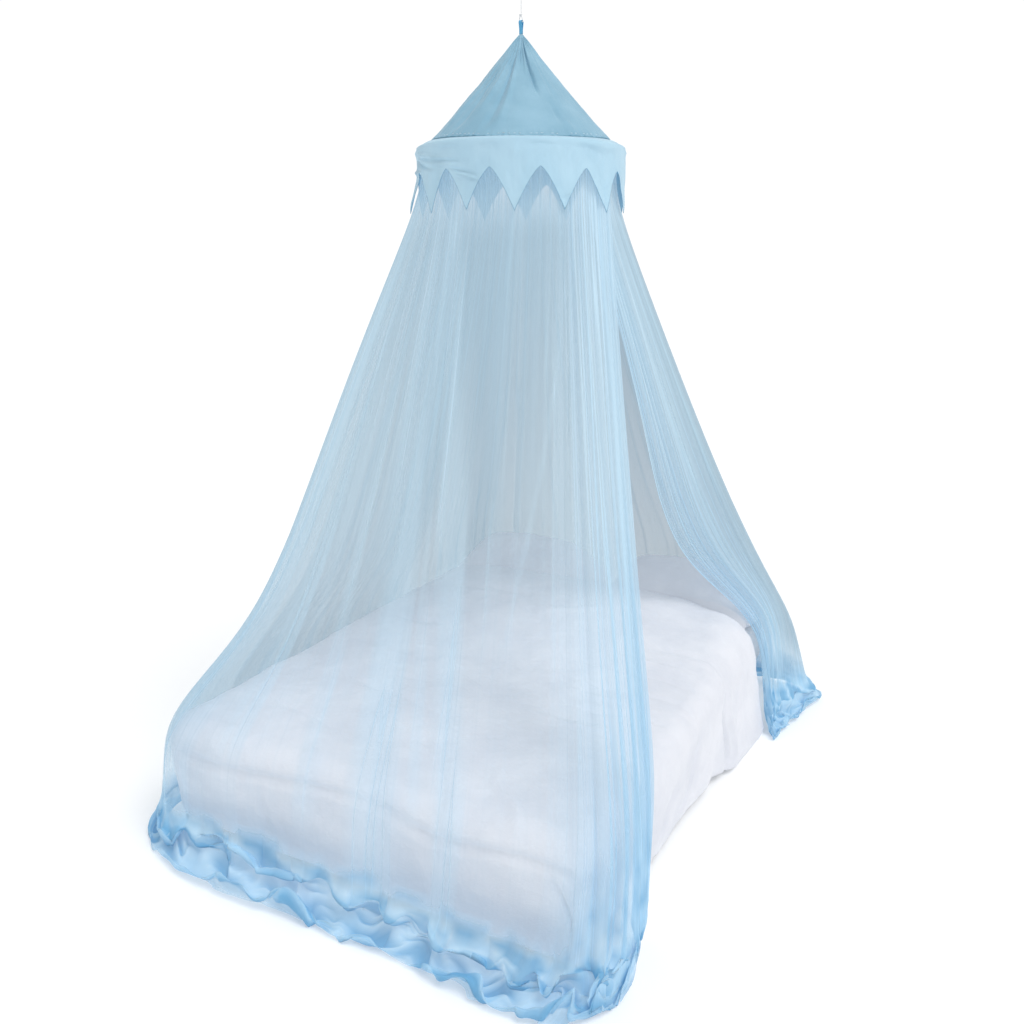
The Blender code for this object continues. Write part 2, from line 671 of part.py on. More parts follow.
def duvet():
    """The white filled cover, hanging over the foot and both sides of the bed."""
    half = BED_WIDTH / 2 - DUVET_EDGE_RADIUS
    foot_y = -BED_LENGTH / 2 + DUVET_EDGE_RADIUS
    drops = [1.0, 0.72, 0.44, 0.24, 0.10]
    top_steps = 7
    across = [(-half, -drop) for drop in drops]
    across += [(-half + 2 * half * step / top_steps, 0.0) for step in range(top_steps + 1)]
    across += [(half, drop) for drop in reversed(drops)]
    across.reverse()
    along_steps = 8
    length = DUVET_HEAD_Y - foot_y
    along = [(DUVET_HEAD_Y - length * step / along_steps, 0.0) for step in range(along_steps + 1)]
    along += [(foot_y, drop) for drop in reversed(drops)]
    outer = [[duvet_point(x, y, over_x, over_y) for x, over_x in across] for y, over_y in along]
    inner = set_back(outer, DUVET_THICKNESS)
    for line, (_, over_y) in zip(inner, along):
        for point, (_, over_x) in zip(line, across):
            if over_x == 0.0 and over_y == 0.0:
                point.z = duvet_under(point.x, point.y)
    return closed_sheet("duvet", outer, inner)


def pillow_point(row, u, v):
    """The upper and lower point of a pillow at u, v, its places from -1 to 1 along x and y."""
    pull = 1.0 - PILLOW_DRAW * ((1 - u * u) * abs(v) + (1 - v * v) * abs(u))
    narrowing = 1.0 - PILLOW_FRONT_NARROWING * max(-v, 0.0) ** 3
    x = row.x + 0.5 * row.width * u * pull * narrowing
    y = PILLOW_Y + 0.5 * PILLOW_DEPTH * v * pull
    side = 1.0 + PILLOW_CREST if v < PILLOW_CREST else 1.0 - PILLOW_CREST
    slope = abs(v - PILLOW_CREST) / side
    plump = max((1 - u ** 4) * (1 - slope ** 1.6), 0.0) ** 0.85
    bottom_z = MATTRESS_TOP + TOUCH_GAP
    seam_z = bottom_z + PILLOW_SEAM_HEIGHT * (1.0 + 0.5 * abs(u * v))
    top_z = seam_z + (bottom_z + PILLOW_HEIGHT - seam_z) * plump
    if y < DUVET_HEAD_Y + 0.02:
        top_z = min(top_z, duvet_under(x, y) - PILLOW_PRESS)
    lower_z = bottom_z + (min(seam_z, top_z) - bottom_z) * max(1 - 2.2 * plump, 0.0)
    return (x, y, top_z), (x, y, lower_z)


def pillow(row):
    """A plump pillow on the mattress, pressed down where the duvet lies on it."""
    steps_x = 10
    steps_y = 8
    shape = bmesh.new()
    upper = []
    lower = []
    for j in range(steps_y + 1):
        v = math.sin(math.pi * (j / steps_y - 0.5))
        upper_line = []
        lower_line = []
        for i in range(steps_x + 1):
            u = math.sin(math.pi * (i / steps_x - 0.5))
            above, below = pillow_point(row, u, v)
            upper_line.append(shape.verts.new(above))
            on_seam = i in (0, steps_x) or j in (0, steps_y)
            lower_line.append(upper_line[-1] if on_seam else shape.verts.new(below))
        upper.append(upper_line)
        lower.append(lower_line)
    for j in range(steps_y):
        for i in range(steps_x):
            shape.faces.new((upper[j][i], upper[j][i + 1], upper[j + 1][i + 1], upper[j + 1][i]))
            shape.faces.new((lower[j][i], lower[j + 1][i], lower[j + 1][i + 1], lower[j][i + 1]))
    return add_object(row.name, closed_mesh(row.name, shape))


def build():
    for old in list(bpy.data.objects):
        bpy.data.objects.remove(old)
    ceiling_fitting()
    hang_cord()
    cord_knot()
    tape_loop()
    cone_roof()
    hoop()
    valance()
    net()
    mattress_bottom = MATTRESS_TOP - MATTRESS_THICKNESS
    mattress_size = (MATTRESS_WIDTH, MATTRESS_LENGTH, MATTRESS_THICKNESS)
    base_size = (BASE_WIDTH, BASE_LENGTH, mattress_bottom - TOUCH_GAP)
    rounded_block("mattress", mattress_size, mattress_bottom, MATTRESS_Y, MATTRESS_ROUNDING)
    rounded_block("bed_base", base_size, 0.0, MATTRESS_Y, BASE_ROUNDING)
    duvet()
    for row in PILLOWS:
        pillow(row)


build()
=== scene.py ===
"""A mosquito net canopy and the bed it falls over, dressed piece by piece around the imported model.

Metres, +Z up. The origin is on the floor under the middle of the bed, and +Y points to its head.
Turns are degrees round the canopy's own upright axis, counterclockwise from +X.
"""
import math
from collections import namedtuple

import bpy
import numpy as np
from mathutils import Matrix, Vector, noise


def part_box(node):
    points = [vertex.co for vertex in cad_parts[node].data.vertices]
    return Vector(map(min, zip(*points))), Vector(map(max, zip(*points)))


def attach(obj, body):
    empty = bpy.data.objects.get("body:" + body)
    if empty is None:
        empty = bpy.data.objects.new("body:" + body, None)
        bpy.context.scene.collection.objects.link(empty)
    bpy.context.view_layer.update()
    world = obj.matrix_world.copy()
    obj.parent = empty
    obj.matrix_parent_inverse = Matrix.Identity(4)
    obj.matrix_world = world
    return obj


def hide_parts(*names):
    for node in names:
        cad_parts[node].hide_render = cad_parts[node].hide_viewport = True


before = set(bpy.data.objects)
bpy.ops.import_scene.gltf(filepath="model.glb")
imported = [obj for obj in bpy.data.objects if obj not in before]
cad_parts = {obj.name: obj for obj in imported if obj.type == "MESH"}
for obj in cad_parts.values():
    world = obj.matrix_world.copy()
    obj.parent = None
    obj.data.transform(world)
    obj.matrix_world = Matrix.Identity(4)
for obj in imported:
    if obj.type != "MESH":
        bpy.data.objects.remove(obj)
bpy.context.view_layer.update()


# The view: the camera stands off the corner of the bed's foot and its open side, a little above
# the middle of the net, and looks down along the bed.
EYE_TURN = math.radians(28.786)
EYE_DISTANCE = 3.094
EYE_HEIGHT = 1.757
EYE_DIP = 0.26

eye = bpy.data.cameras.new("view_lens")
eye.lens = 32.68
eye.sensor_width = 36.0
eye.clip_start = 0.05
eye.clip_end = 200.0
camera = bpy.data.objects.new("view", eye)
camera.location = (math.sin(EYE_TURN) * EYE_DISTANCE, -math.cos(EYE_TURN) * EYE_DISTANCE, EYE_HEIGHT)
camera.rotation_euler = (math.pi / 2 - EYE_DIP, 0.0, EYE_TURN)
bpy.context.scene.collection.objects.link(camera)
bpy.context.scene.camera = camera


# The cord: white twisted cotton, 2.5 mm thick. It is tied through the tape loop on the roof's tip,
# runs straight up and goes into the nub of the ceiling fitting.
CANOPY_X = -0.035
CANOPY_Y = 0.123
CEILING_Z = 2.600
CORD_DIAMETER = 0.0025
CORD_TOP_Z = 2.566
CORD_LOOP_HALF_WIDTH = 0.0068
CORD_LOOP_DROP = 0.0028
CORD_LOOP_STEPS = 12
CORD_SHOULDER_HEIGHT = 0.007
CORD_SHOULDERS = (-0.82, 0.68)
CORD_TIE_HEIGHT = 0.0135
CORD_TAIL_HEIGHT = 0.020
CORD_TWISTS_PER_METRE = 260.0
TAPE_EYE_RADIUS = 0.0045
TAPE_EYE_Z = 2.492
TAPE_THICKNESS = 0.0015
STRAND_GAP = 0.0004
ARCH_Z = TAPE_EYE_Z + TAPE_EYE_RADIUS + TAPE_THICKNESS / 2


class Value:
    """A shader value that sums can be written with: each operator adds its Math node."""

    def __init__(self, finish, socket):
        self.finish = finish
        self.socket = socket

    def maths(self, operation, *others):
        return self.finish.node("ShaderNodeMath", {"operation": operation}, (self, *others))

    def __add__(self, other):
        return self.maths("ADD", other)

    def __sub__(self, other):
        return self.maths("SUBTRACT", other)

    def __mul__(self, other):
        return self.maths("MULTIPLY", other)

    def __truediv__(self, other):
        return self.maths("DIVIDE", other)

    def __pow__(self, other):
        return self.maths("POWER", other)

    def __rsub__(self, other):
        return self.finish.node("ShaderNodeMath", {"operation": "SUBTRACT"}, (other, self))

    def __rpow__(self, other):
        return self.finish.node("ShaderNodeMath", {"operation": "POWER"}, (other, self))

    __radd__ = __add__
    __rmul__ = __mul__

    def ramp(self, low, high):
        """0 up to low, 1 from high, and smooth between."""
        settings = {"interpolation_type": "SMOOTHSTEP", "clamp": True}
        stops = {"Value": self, "From Min": low, "From Max": high}
        return self.finish.node("ShaderNodeMapRange", settings, stops)

    def waves(self, per_metre):
        """Even waves from 0 to 1."""
        return (self * (2 * math.pi * per_metre)).maths("SINE") * 0.5 + 0.5


class Finish:
    """A material of one Principled surface, whose varying parts are built from Values."""

    def __init__(self, name, **uniform):
        self.material = bpy.data.materials.new(name)
        self.material.use_nodes = True
        self.tree = self.material.node_tree
        self.surface = self.tree.nodes["Principled BSDF"]
        for socket, value in uniform.items():
            self.surface.inputs[socket.replace("_", " ")].default_value = value

    def node(self, kind, settings=(), inputs=(), output=0):
        """Adds a node: its settings first, then the values or links of its sockets."""
        made = self.tree.nodes.new(kind)
        for key, value in dict(settings).items():
            setattr(made, key, value)
        for key, value in inputs.items() if isinstance(inputs, dict) else enumerate(inputs):
            if isinstance(value, Value):
                self.tree.links.new(value.socket, made.inputs[key])
            else:
                made.inputs[key].default_value = value
        return Value(self, made.outputs[output])

    def place(self):
        return self.node("ShaderNodeTexCoord", output="Object")

    def cut(self):
        """Where a point lies on the flat cloth, in metres across and down."""
        return self.node("ShaderNodeUVMap", {"uv_map": "cut"})

    def part(self, vector, axis):
        return self.node("ShaderNodeSeparateXYZ", (), (vector,), axis)

    def cloud(self, vector, scale=(1.0, 1.0, 1.0), detail=2.0, roughness=0.5):
        """Soft noise from 0 to 1 with scale lumps a metre along each axis."""
        spread = self.node("ShaderNodeVectorMath", {"operation": "MULTIPLY"}, (vector, scale))
        inputs = {"Vector": spread, "Scale": 1.0, "Detail": detail, "Roughness": roughness}
        return self.node("ShaderNodeTexNoise", (), inputs)

    def attribute(self, name):
        return self.node("ShaderNodeAttribute", {"attribute_name": name}, (), "Fac")

    def mix(self, share, first, second):
        first, second = ((*c, 1.0) if isinstance(c, tuple) else c for c in (first, second))
        return self.node("ShaderNodeMix", {"data_type": "RGBA"}, {0: share, 6: first, 7: second}, 2)

    def weave(self, threads):
        """How high the crossing threads of a plain cloth stand, from 0 to 1."""
        cut = self.cut()
        across, down = (self.part(cut, axis).waves(threads) for axis in (0, 1))
        return across.maths("MAXIMUM", down)

    def wear(self, **sockets):
        for socket, value in sockets.items():
            self.tree.links.new(value.socket, self.surface.inputs[socket.replace("_", " ")])

    def relief(self, height, distance):
        inputs = {"Height": height, "Distance": distance, "Strength": 1.0}
        self.wear(Normal=self.node("ShaderNodeBump", (), inputs))


def colour(*screen):
    """A screen colour, 0 to 255, as the light that it stands for."""
    parts = (part / 255.0 for part in screen)
    return tuple(part / 12.92 if part <= 0.04045 else ((part + 0.055) / 1.055) ** 2.4 for part in parts)


def into_scene(name, data, *materials):
    for material in materials:
        data.materials.append(material)
    piece = bpy.data.objects.new(name, data)
    bpy.context.scene.collection.objects.link(piece)
    return piece


def cord_route():
    """Up from the short tail, down round the tape's arch, and up again to the fitting."""
    tail_x = -(CORD_DIAMETER + STRAND_GAP)
    straight_z = ARCH_Z + CORD_TAIL_HEIGHT
    tie_z = ARCH_Z + CORD_TIE_HEIGHT
    left, right = ((share * CORD_LOOP_HALF_WIDTH, ARCH_Z + CORD_SHOULDER_HEIGHT) for share in CORD_SHOULDERS)
    route = [(tail_x, straight_z), (tail_x, tie_z), left]
    for step in range(CORD_LOOP_STEPS + 1):
        angle = math.pi * step / CORD_LOOP_STEPS
        x = -math.copysign(CORD_LOOP_HALF_WIDTH * math.sqrt(abs(math.cos(angle))), math.cos(angle))
        route.append((x, ARCH_Z - CORD_LOOP_DROP * math.sqrt(math.sin(angle))))
    route += [right, (0.0, tie_z)]
    route += [(0.0, z) for z in np.linspace(straight_z, CORD_TOP_Z, 11)]
    return [Vector((CANOPY_X + x, CANOPY_Y, z)) for x, z in route]


def cord_finish():
    cotton = Finish("white_cotton_cord", Roughness=0.85, Sheen_Weight=0.2)
    place = cotton.place()
    strands = (cotton.part(place, 2) + cotton.part(place, 0) * 0.8).waves(CORD_TWISTS_PER_METRE)
    cotton.wear(Base_Color=cotton.mix(strands, colour(222, 225, 229), colour(246, 247, 248)))
    cotton.relief(strands, 0.0004)
    return cotton.material


white_cord = cord_finish()
cord_points = cord_route()
cord_line = bpy.data.curves.new("cord", "CURVE")
cord_line.dimensions = "3D"
cord_line.bevel_depth = CORD_DIAMETER / 2
cord_line.bevel_resolution = 4
cord_line.use_fill_caps = True
strand = cord_line.splines.new("POLY")
strand.points.add(len(cord_points) - 1)
for point, where in zip(strand.points, cord_points):
    point.co = (*where, 1.0)
cord = into_scene("cord", cord_line, white_cord)
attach(cord, "root")
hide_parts("hang_cord")


# The cord's knot: three tight wraps of the cord's tail round both strands.
KNOT_STRAND = 0.0009
KNOT_WRAPS = 3
KNOT_RISE = KNOT_STRAND * 1.9
KNOT_SLANT = 0.0005


def quads(grid):
    """The four corners of each square of a grid."""
    return np.stack([grid[:-1, :-1], grid[:-1, 1:], grid[1:, 1:], grid[1:, :-1]], axis=2)


def smooth_mesh(name, points, faces, crisp_from=None):
    """A smooth mesh, whose edges stay crisp where it bends by more than crisp_from degrees."""
    mesh = bpy.data.meshes.new(name)
    mesh.from_pydata(points.tolist(), [], faces)
    mesh.shade_smooth()
    if crisp_from:
        mesh.set_sharp_from_angle(angle=math.radians(crisp_from))
    return mesh


def directions(count):
    """Even directions round an upright axis, counterclockwise."""
    turn = 2 * np.pi * np.arange(count) / count
    return np.stack([np.cos(turn), np.sin(turn), 0 * turn], axis=-1)


def tube(name, path, outs, rod, sides):
    """A closed ring of round rod along a path of points, given each one's direction outwards."""
    angle = (-2 * np.pi * np.arange(sides) / sides)[:, None]
    rings = path[:, None] + rod * (outs[:, None] * np.cos(angle) + np.sin(angle) * [0.0, 0.0, 1.0])
    number = np.pad(np.arange(len(path) * sides).reshape(len(path), sides), (0, 1), mode="wrap")
    return smooth_mesh(name, rings.reshape(-1, 3), quads(number).reshape(-1, 4).tolist())


def joined(name, meshes, crisp_from=None):
    """One mesh from several."""
    corners, faces = [], []
    for mesh in meshes:
        start = len(corners)
        corners += [vertex.co[:] for vertex in mesh.vertices]
        faces += [[start + index for index in face.vertices] for face in mesh.polygons]
    return smooth_mesh(name, np.array(corners), faces, crisp_from)


def knot_wrap(number):
    """One wrap: a ring drawn out to an oval round both strands, lying a little aslant."""
    pitch = (CORD_DIAMETER + STRAND_GAP) / 2
    z = ARCH_Z + (CORD_TIE_HEIGHT + CORD_TAIL_HEIGHT) / 2 + (number - (KNOT_WRAPS - 1) / 2) * KNOT_RISE
    outs = directions(40)
    path = outs * (CORD_DIAMETER / 2 + STRAND_GAP + KNOT_STRAND) + [CANOPY_X - pitch, CANOPY_Y, z]
    path += outs[:, :1] * [0.0, 0.0, KNOT_SLANT] + np.copysign(pitch, outs[:, :1]) * [1.0, 0.0, 0.0]
    return tube("knot_wrap", path, outs, KNOT_STRAND, 8)


knot = into_scene("knot", joined("knot", [knot_wrap(number) for number in range(KNOT_WRAPS)]), white_cord)
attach(knot, "root")
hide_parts("cord_knot")


# The ceiling fitting: a small white cup of moulded plastic, screwed to the ceiling, with a hollow
# nub under it that the cord goes into.
FITTING_RADIUS = 0.030
FITTING_PROFILE = [
    (0.0038, CORD_TOP_Z + 0.0004), (0.0050, CORD_TOP_Z + 0.0010), (0.0056, CORD_TOP_Z + 0.0030),
    (0.0060, CORD_TOP_Z + 0.0090), (0.0072, CORD_TOP_Z + 0.0120), (0.0120, CEILING_Z - 0.0165),
    (0.0185, CEILING_Z - 0.0125), (0.0260, CEILING_Z - 0.0085), (0.0290, CEILING_Z - 0.0060),
    (FITTING_RADIUS, CEILING_Z - 0.0040), (FITTING_RADIUS, CEILING_Z),
]


def skinned(name, rings, crisp_from):
    """A closed shell over rings, the bottom one first.

    Rings that run clockwise seen from above, as all do here, face it inwards.
    """
    rings = np.array(rings)
    number = np.arange(rings.shape[0] * rings.shape[1]).reshape(rings.shape[:2])
    faces = quads(np.concatenate([number, number[:, :1]], axis=1)).reshape(-1, 4).tolist()
    faces += [number[0, ::-1].tolist(), number[-1].tolist()]
    return smooth_mesh(name, rings.reshape(-1, 3), faces, crisp_from)


def plastic_finish():
    plastic = Finish("white_moulded_plastic", Roughness=0.35, Coat_Weight=0.15)
    grain = plastic.cloud(plastic.place(), (900.0, 900.0, 900.0))
    plastic.wear(Base_Color=plastic.mix(grain, colour(232, 232, 229), colour(240, 240, 238)))
    plastic.relief(grain, 0.00005)
    return plastic.material


fitting_turns = -np.arange(72) * 2 * math.pi / 72
fitting_rings = [
    [(CANOPY_X + radius * math.cos(turn), CANOPY_Y + radius * math.sin(turn), z) for turn in fitting_turns]
    for radius, z in FITTING_PROFILE
]
fitting = into_scene("fitting", skinned("fitting", fitting_rings, 40), plastic_finish())
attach(fitting, "root")
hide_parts("ceiling_fitting")


# The tape loop: blue woven tape, folded in two and sewn into the roof's tip, so that its bight
# stands up as an eye for the cord.
TAPE_WIDTH = 0.010
TAPE_JOINED_HEIGHT = 0.012
ROOF_TIP_Z = 2.459


def cloth(name, points, cut, closes=False, values=None):
    """A sheet's mesh from rows of points, with its flat cut as UVs in metres.

    Rows run down the sheet and columns clockwise seen from above, so that faces point out.
    """
    number = np.arange(points.shape[0] * points.shape[1]).reshape(points.shape[:2])
    if closes:
        number = np.concatenate([number, number[:, :1]], axis=1)
    mesh = smooth_mesh(name, points.reshape(-1, 3), quads(number).reshape(-1, 4).tolist())
    layer = mesh.uv_layers.new(name="cut")
    layer.data.foreach_set("uv", quads(cut).reshape(-1).astype(np.float32))
    for key, value in (values or {}).items():
        stored = mesh.attributes.new(key, "FLOAT", "POINT")
        stored.data.foreach_set("value", value.reshape(-1).astype(np.float32))
    return mesh


def run_down(points):
    """How far each row of a sheet lies below the first, along the cloth."""
    return np.concatenate([[0.0], np.cumsum(np.linalg.norm(np.diff(points, axis=0), axis=2).mean(axis=1))])


def cut_of(points, closes=False):
    """The flat cut of rows of points: metres across, taken at the middle row, and metres down."""
    middle = points[len(points) // 2]
    ring = np.concatenate([middle, middle[:1]]) if closes else middle
    across = np.concatenate([[0.0], np.cumsum(np.linalg.norm(np.diff(ring, axis=0), axis=1))])
    return np.stack(np.broadcast_arrays(across[None, :], run_down(points)[:, None]), axis=-1)


def given_thickness(piece, thickness):
    """Gives a one-layer sheet its cloth's thickness, on its inner side."""
    layer = piece.modifiers.new("thickness", "SOLIDIFY")
    layer.thickness = thickness
    layer.offset = -1.0


def fabric_finish(name, dark, light, threads, relief=0.0002, crease=0.0, rim=None):
    """Plain woven cotton blend: its colour a little cloudy, its threads raised, its folds soft.

    rim is the darker colour of its edge.
    """
    fabric = Finish(name, Roughness=0.82, Sheen_Weight=0.25, Sheen_Roughness=0.4)
    cut = fabric.cut()
    cloudy = fabric.cloud(cut, (9.0, 9.0, 9.0), detail=4.0)
    slub = fabric.cloud(cut, (700.0, 60.0, 1.0))
    base = fabric.mix(cloudy.ramp(0.3, 0.7) * 0.7 + slub * 0.3, dark, light)
    if rim:
        base = fabric.mix(fabric.attribute("rim") * 0.8, base, rim)
    fabric.wear(Base_Color=base, Roughness=0.76 + slub * 0.14)
    height = fabric.weave(threads) * 0.25 + slub * 0.2
    if crease:
        height = height + fabric.cloud(cut, (30.0, 14.0, 1.0), detail=5.0) * crease
    fabric.relief(height, relief)
    return fabric.material


def tape_points():
    """Up one side of the folded tape, over the eye, and down the other side."""
    foot_z = ROOF_TIP_Z + STRAND_GAP
    radius = TAPE_EYE_RADIUS + TAPE_THICKNESS
    heights = [foot_z + TAPE_JOINED_HEIGHT * step / 6 for step in range(7)]
    straight = [(STRAND_GAP / 2 + TAPE_THICKNESS, z) for z in heights]
    angles = [math.pi * step / 24 for step in range(25)]
    side = straight + [(radius * math.cos(a), TAPE_EYE_Z + radius * math.sin(a)) for a in angles]
    side += [(-y, z) for y, z in straight[::-1]]
    edges = np.linspace(CANOPY_X - TAPE_WIDTH / 2, CANOPY_X + TAPE_WIDTH / 2, 9)
    return np.array([[(x, CANOPY_Y + y, z) for x in edges] for y, z in side])


tape_line = tape_points()
tape_finish = fabric_finish("blue_woven_tape", colour(74, 158, 205), colour(108, 186, 224), 1400.0)
tape = into_scene("tape", cloth("tape", tape_line, cut_of(tape_line)), tape_finish)
given_thickness(tape, TAPE_THICKNESS)
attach(tape, "root")
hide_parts("tape_loop")


# The roof: one piece of plain blue fabric, rolled to a cone and gathered at its tip round the
# tape. Its foot is stitched, slightly puckered, to the band, and its slack hangs in radial folds.
ROOF_FOOT_RADIUS = 0.292
ROOF_FOOT_Z = 2.1305
ROOF_TIP_RADIUS = 0.005
ROOF_HOLLOW = 0.004
ROOF_WAVES = 10
ROOF_WAVE_DEPTH = 0.0018
ROOF_PUCKERS = ((61.0, 0.0, 1.0), (97.0, 40.0, 0.8))
ROOF_PUCKER_DEPTH = 0.0011
ROOF_GATHERS = ((23.0, 0.0, 1.0), (37.0, 70.0, 1.0))
ROOF_GATHER_DEPTH = 0.0009
ROOF_CRUMPLE_DEPTH = 0.0016
ROOF_SINK_OUT = 0.78
ROOF_SINK_UP = 0.627
FRONT_TURN = -61.2
SEAM_UNEVENNESS = 0.008
FABRIC_THICKNESS = 0.0012
FABRIC_THREADS = 1200.0
FABRIC_RELIEF = 0.0006
FABRIC_CREASE = 2.0
STITCH_ROW = -3
STITCH_OUT = np.array([0.0, 0.0, 0.0004])
STITCH_COUNT = 110
STITCH_LENGTH = 0.0085
STITCH_THREAD = 0.0022
STITCHES_SHOWN = 0.7

# Folds that run down from the tip: where, how far they lean and how wide in degrees, from and to
# which share of the slope, and how deep; minus stands out as a ridge.
Fold = namedtuple("Fold", "turn lean width start end depth")
ROOF_FOLDS = [
    Fold(-50.0, 11.0, 2.4, 0.02, 0.66, 0.0090),
    Fold(-56.0, 4.0, 2.0, 0.03, 0.45, -0.0045),
    Fold(-63.0, -2.0, 2.4, 0.04, 0.38, 0.0045),
    Fold(-69.0, -9.0, 2.8, 0.10, 0.95, -0.0067),
    Fold(-75.0, -12.0, 2.4, 0.20, 0.98, 0.0060),
    Fold(-86.0, -14.0, 2.8, 0.10, 0.80, -0.0060),
    Fold(-97.0, -16.0, 2.4, 0.30, 0.98, 0.0045),
    Fold(-112.0, -12.0, 3.2, 0.20, 0.90, -0.0053),
    Fold(-128.0, -12.0, 2.4, 0.35, 0.97, 0.0045),
    Fold(-41.0, 10.0, 2.0, 0.62, 0.96, 0.0053),
    Fold(-30.0, 5.0, 3.2, 0.15, 0.75, 0.0023),
    Fold(10.0, 8.0, 3.2, 0.10, 0.90, 0.0045),
    Fold(50.0, -6.0, 4.0, 0.10, 0.70, 0.0053),
    Fold(95.0, 9.0, 3.2, 0.15, 0.95, -0.0053),
    Fold(140.0, -7.0, 3.2, 0.10, 0.85, 0.0053),
    Fold(175.0, 6.0, 2.8, 0.20, 0.95, -0.0045),
    Fold(-34.0, 6.0, 2.5, 0.78, 1.02, -0.0070),
    Fold(-104.0, -22.0, 2.0, 0.45, 0.99, -0.0040),
    Fold(-92.0, -20.0, 2.0, 0.50, 0.99, 0.0040),
]


def seam_lift(turn):
    """The roof seam rides a little higher at the band's two sides than in front and behind."""
    return -SEAM_UNEVENNESS * np.cos(np.radians(2 * (turn - FRONT_TURN)))


def step_up(x, low, high):
    """0 up to low, 1 from high, and smooth between."""
    t = np.clip((x - low) / (high - low), 0.0, 1.0)
    return t * t * (3 - 2 * t)


def between(x, start, rise, end, fall):
    """1 from start to end, reached over rise and left over fall."""
    return step_up(x, start, start + rise) * (1 - step_up(x, end - fall, end))


def turn_from(turn, middle):
    """Degrees from a middle, -180 to 180."""
    return (turn - middle + 180.0) % 360.0 - 180.0


def ripples(turn, rows):
    """Sums waves round the canopy: how many, how far turned and how strong each is."""
    return sum(strength * np.sin(np.radians(turn * count + shift)) for count, shift, strength in rows)


def on_axis(turns, radius, z):
    """Points round the canopy's axis, from turns, reaches and heights."""
    angle = np.radians(turns)
    return np.stack([np.cos(angle) * radius, np.sin(angle) * radius, z], axis=-1)


def lumps(points, size, seed=0.0, octaves=3):
    """Smooth noise, about -1 to 1, at rows of 3-D places."""
    flat = np.asarray(points, dtype=float).reshape(-1, 3) / size + seed
    values = [noise.fractal(Vector(place), 1.0, 2.0, octaves) for place in flat]
    return np.array(values).reshape(np.shape(points)[:-1])


def roof_points():
    share = np.linspace(0.0, 1.0, 64)[:, None] ** 0.9
    turn = -np.arange(0.0, 360.0, 1.0)[None, :] + 0 * share
    radius = ROOF_TIP_RADIUS + (ROOF_FOOT_RADIUS - ROOF_TIP_RADIUS) * share
    wave = np.cos(np.radians(-ROOF_WAVES * turn) + 2.0 * share)
    sink = (ROOF_HOLLOW - ROOF_WAVE_DEPTH * wave) * np.sin(np.pi * share)
    for fold in ROOF_FOLDS:
        off = turn_from(turn, fold.turn + fold.lean * share) / (fold.width * (0.6 + 0.8 * share))
        sink = sink + fold.depth * np.exp(-off ** 2) * between(share, fold.start, 0.15, fold.end, 0.18)
    at_foot = step_up(share, 0.90, 0.985) * (1 - 0.6 * step_up(share, 0.985, 1.0))
    at_tip = (1 - step_up(share, 0.05, 0.35)) * step_up(share, 0.01, 0.06)
    sink = sink + ROOF_PUCKER_DEPTH * ripples(turn, ROOF_PUCKERS) * at_foot
    sink = sink + ROOF_GATHER_DEPTH * ripples(turn, ROOF_GATHERS) * at_tip
    places = on_axis(turn, radius, ROOF_TIP_Z + (ROOF_FOOT_Z + seam_lift(turn) - ROOF_TIP_Z) * share)
    crumple = lumps(places * [1.0, 1.0, 0.45], 0.055, 3.0)
    sink = sink + ROOF_CRUMPLE_DEPTH * crumple * step_up(share, 0.03, 0.2)
    out = on_axis(turn, ROOF_SINK_OUT, ROOF_SINK_UP + 0 * turn)
    return places + np.array([CANOPY_X, CANOPY_Y, 0.0]) - out * sink[..., None]


class Growth:
    """A Geometry Nodes tree with named sizes, which grows a mesh on a closed line of points."""

    def __init__(self, name, **sizes):
        self.tree = bpy.data.node_groups.new(name, "GeometryNodeTree")
        sockets = self.tree.interface
        sockets.new_socket("Mesh", in_out="OUTPUT", socket_type="NodeSocketGeometry")
        sockets.new_socket("Line", in_out="INPUT", socket_type="NodeSocketGeometry")
        self.sizes = {}
        for size, value in sizes.items():
            kind = "NodeSocketInt" if isinstance(value, int) else "NodeSocketFloat"
            self.sizes[sockets.new_socket(size, in_out="INPUT", socket_type=kind).identifier] = value
        self.given = self.tree.nodes.new("NodeGroupInput").outputs

    def node(self, kind, inputs=(), output=0, **settings):
        """Adds a node: its settings first, then the values or links of its sockets."""
        made = self.tree.nodes.new(kind)
        for key, value in settings.items():
            setattr(made, key, value)
        for key, value in dict(inputs).items():
            if isinstance(value, bpy.types.NodeSocket):
                self.tree.links.new(value, made.inputs[key])
            else:
                made.inputs[key].default_value = value
        return made.outputs[output] if made.outputs else None

    def grown_on(self, points, repeats, material):
        """Ends the tree in its realized repeats and their material, and runs it."""
        whole = self.node("GeometryNodeRealizeInstances", {"Geometry": repeats})
        whole = self.node("GeometryNodeSetMaterial", {"Geometry": whole, "Material": material})
        self.node("NodeGroupOutput", {"Mesh": whole})
        guide = bpy.data.meshes.new("guide")
        guide.from_pydata(points, [(i, (i + 1) % len(points)) for i in range(len(points))], [])
        line = into_scene("guide", guide)
        modifier = line.modifiers.new("growth", "NODES")
        modifier.node_group = self.tree
        for identifier, value in self.sizes.items():
            modifier[identifier] = value
        grown = line.evaluated_get(bpy.context.evaluated_depsgraph_get())
        mesh = bpy.data.meshes.new_from_object(grown)
        bpy.data.objects.remove(line)
        return mesh


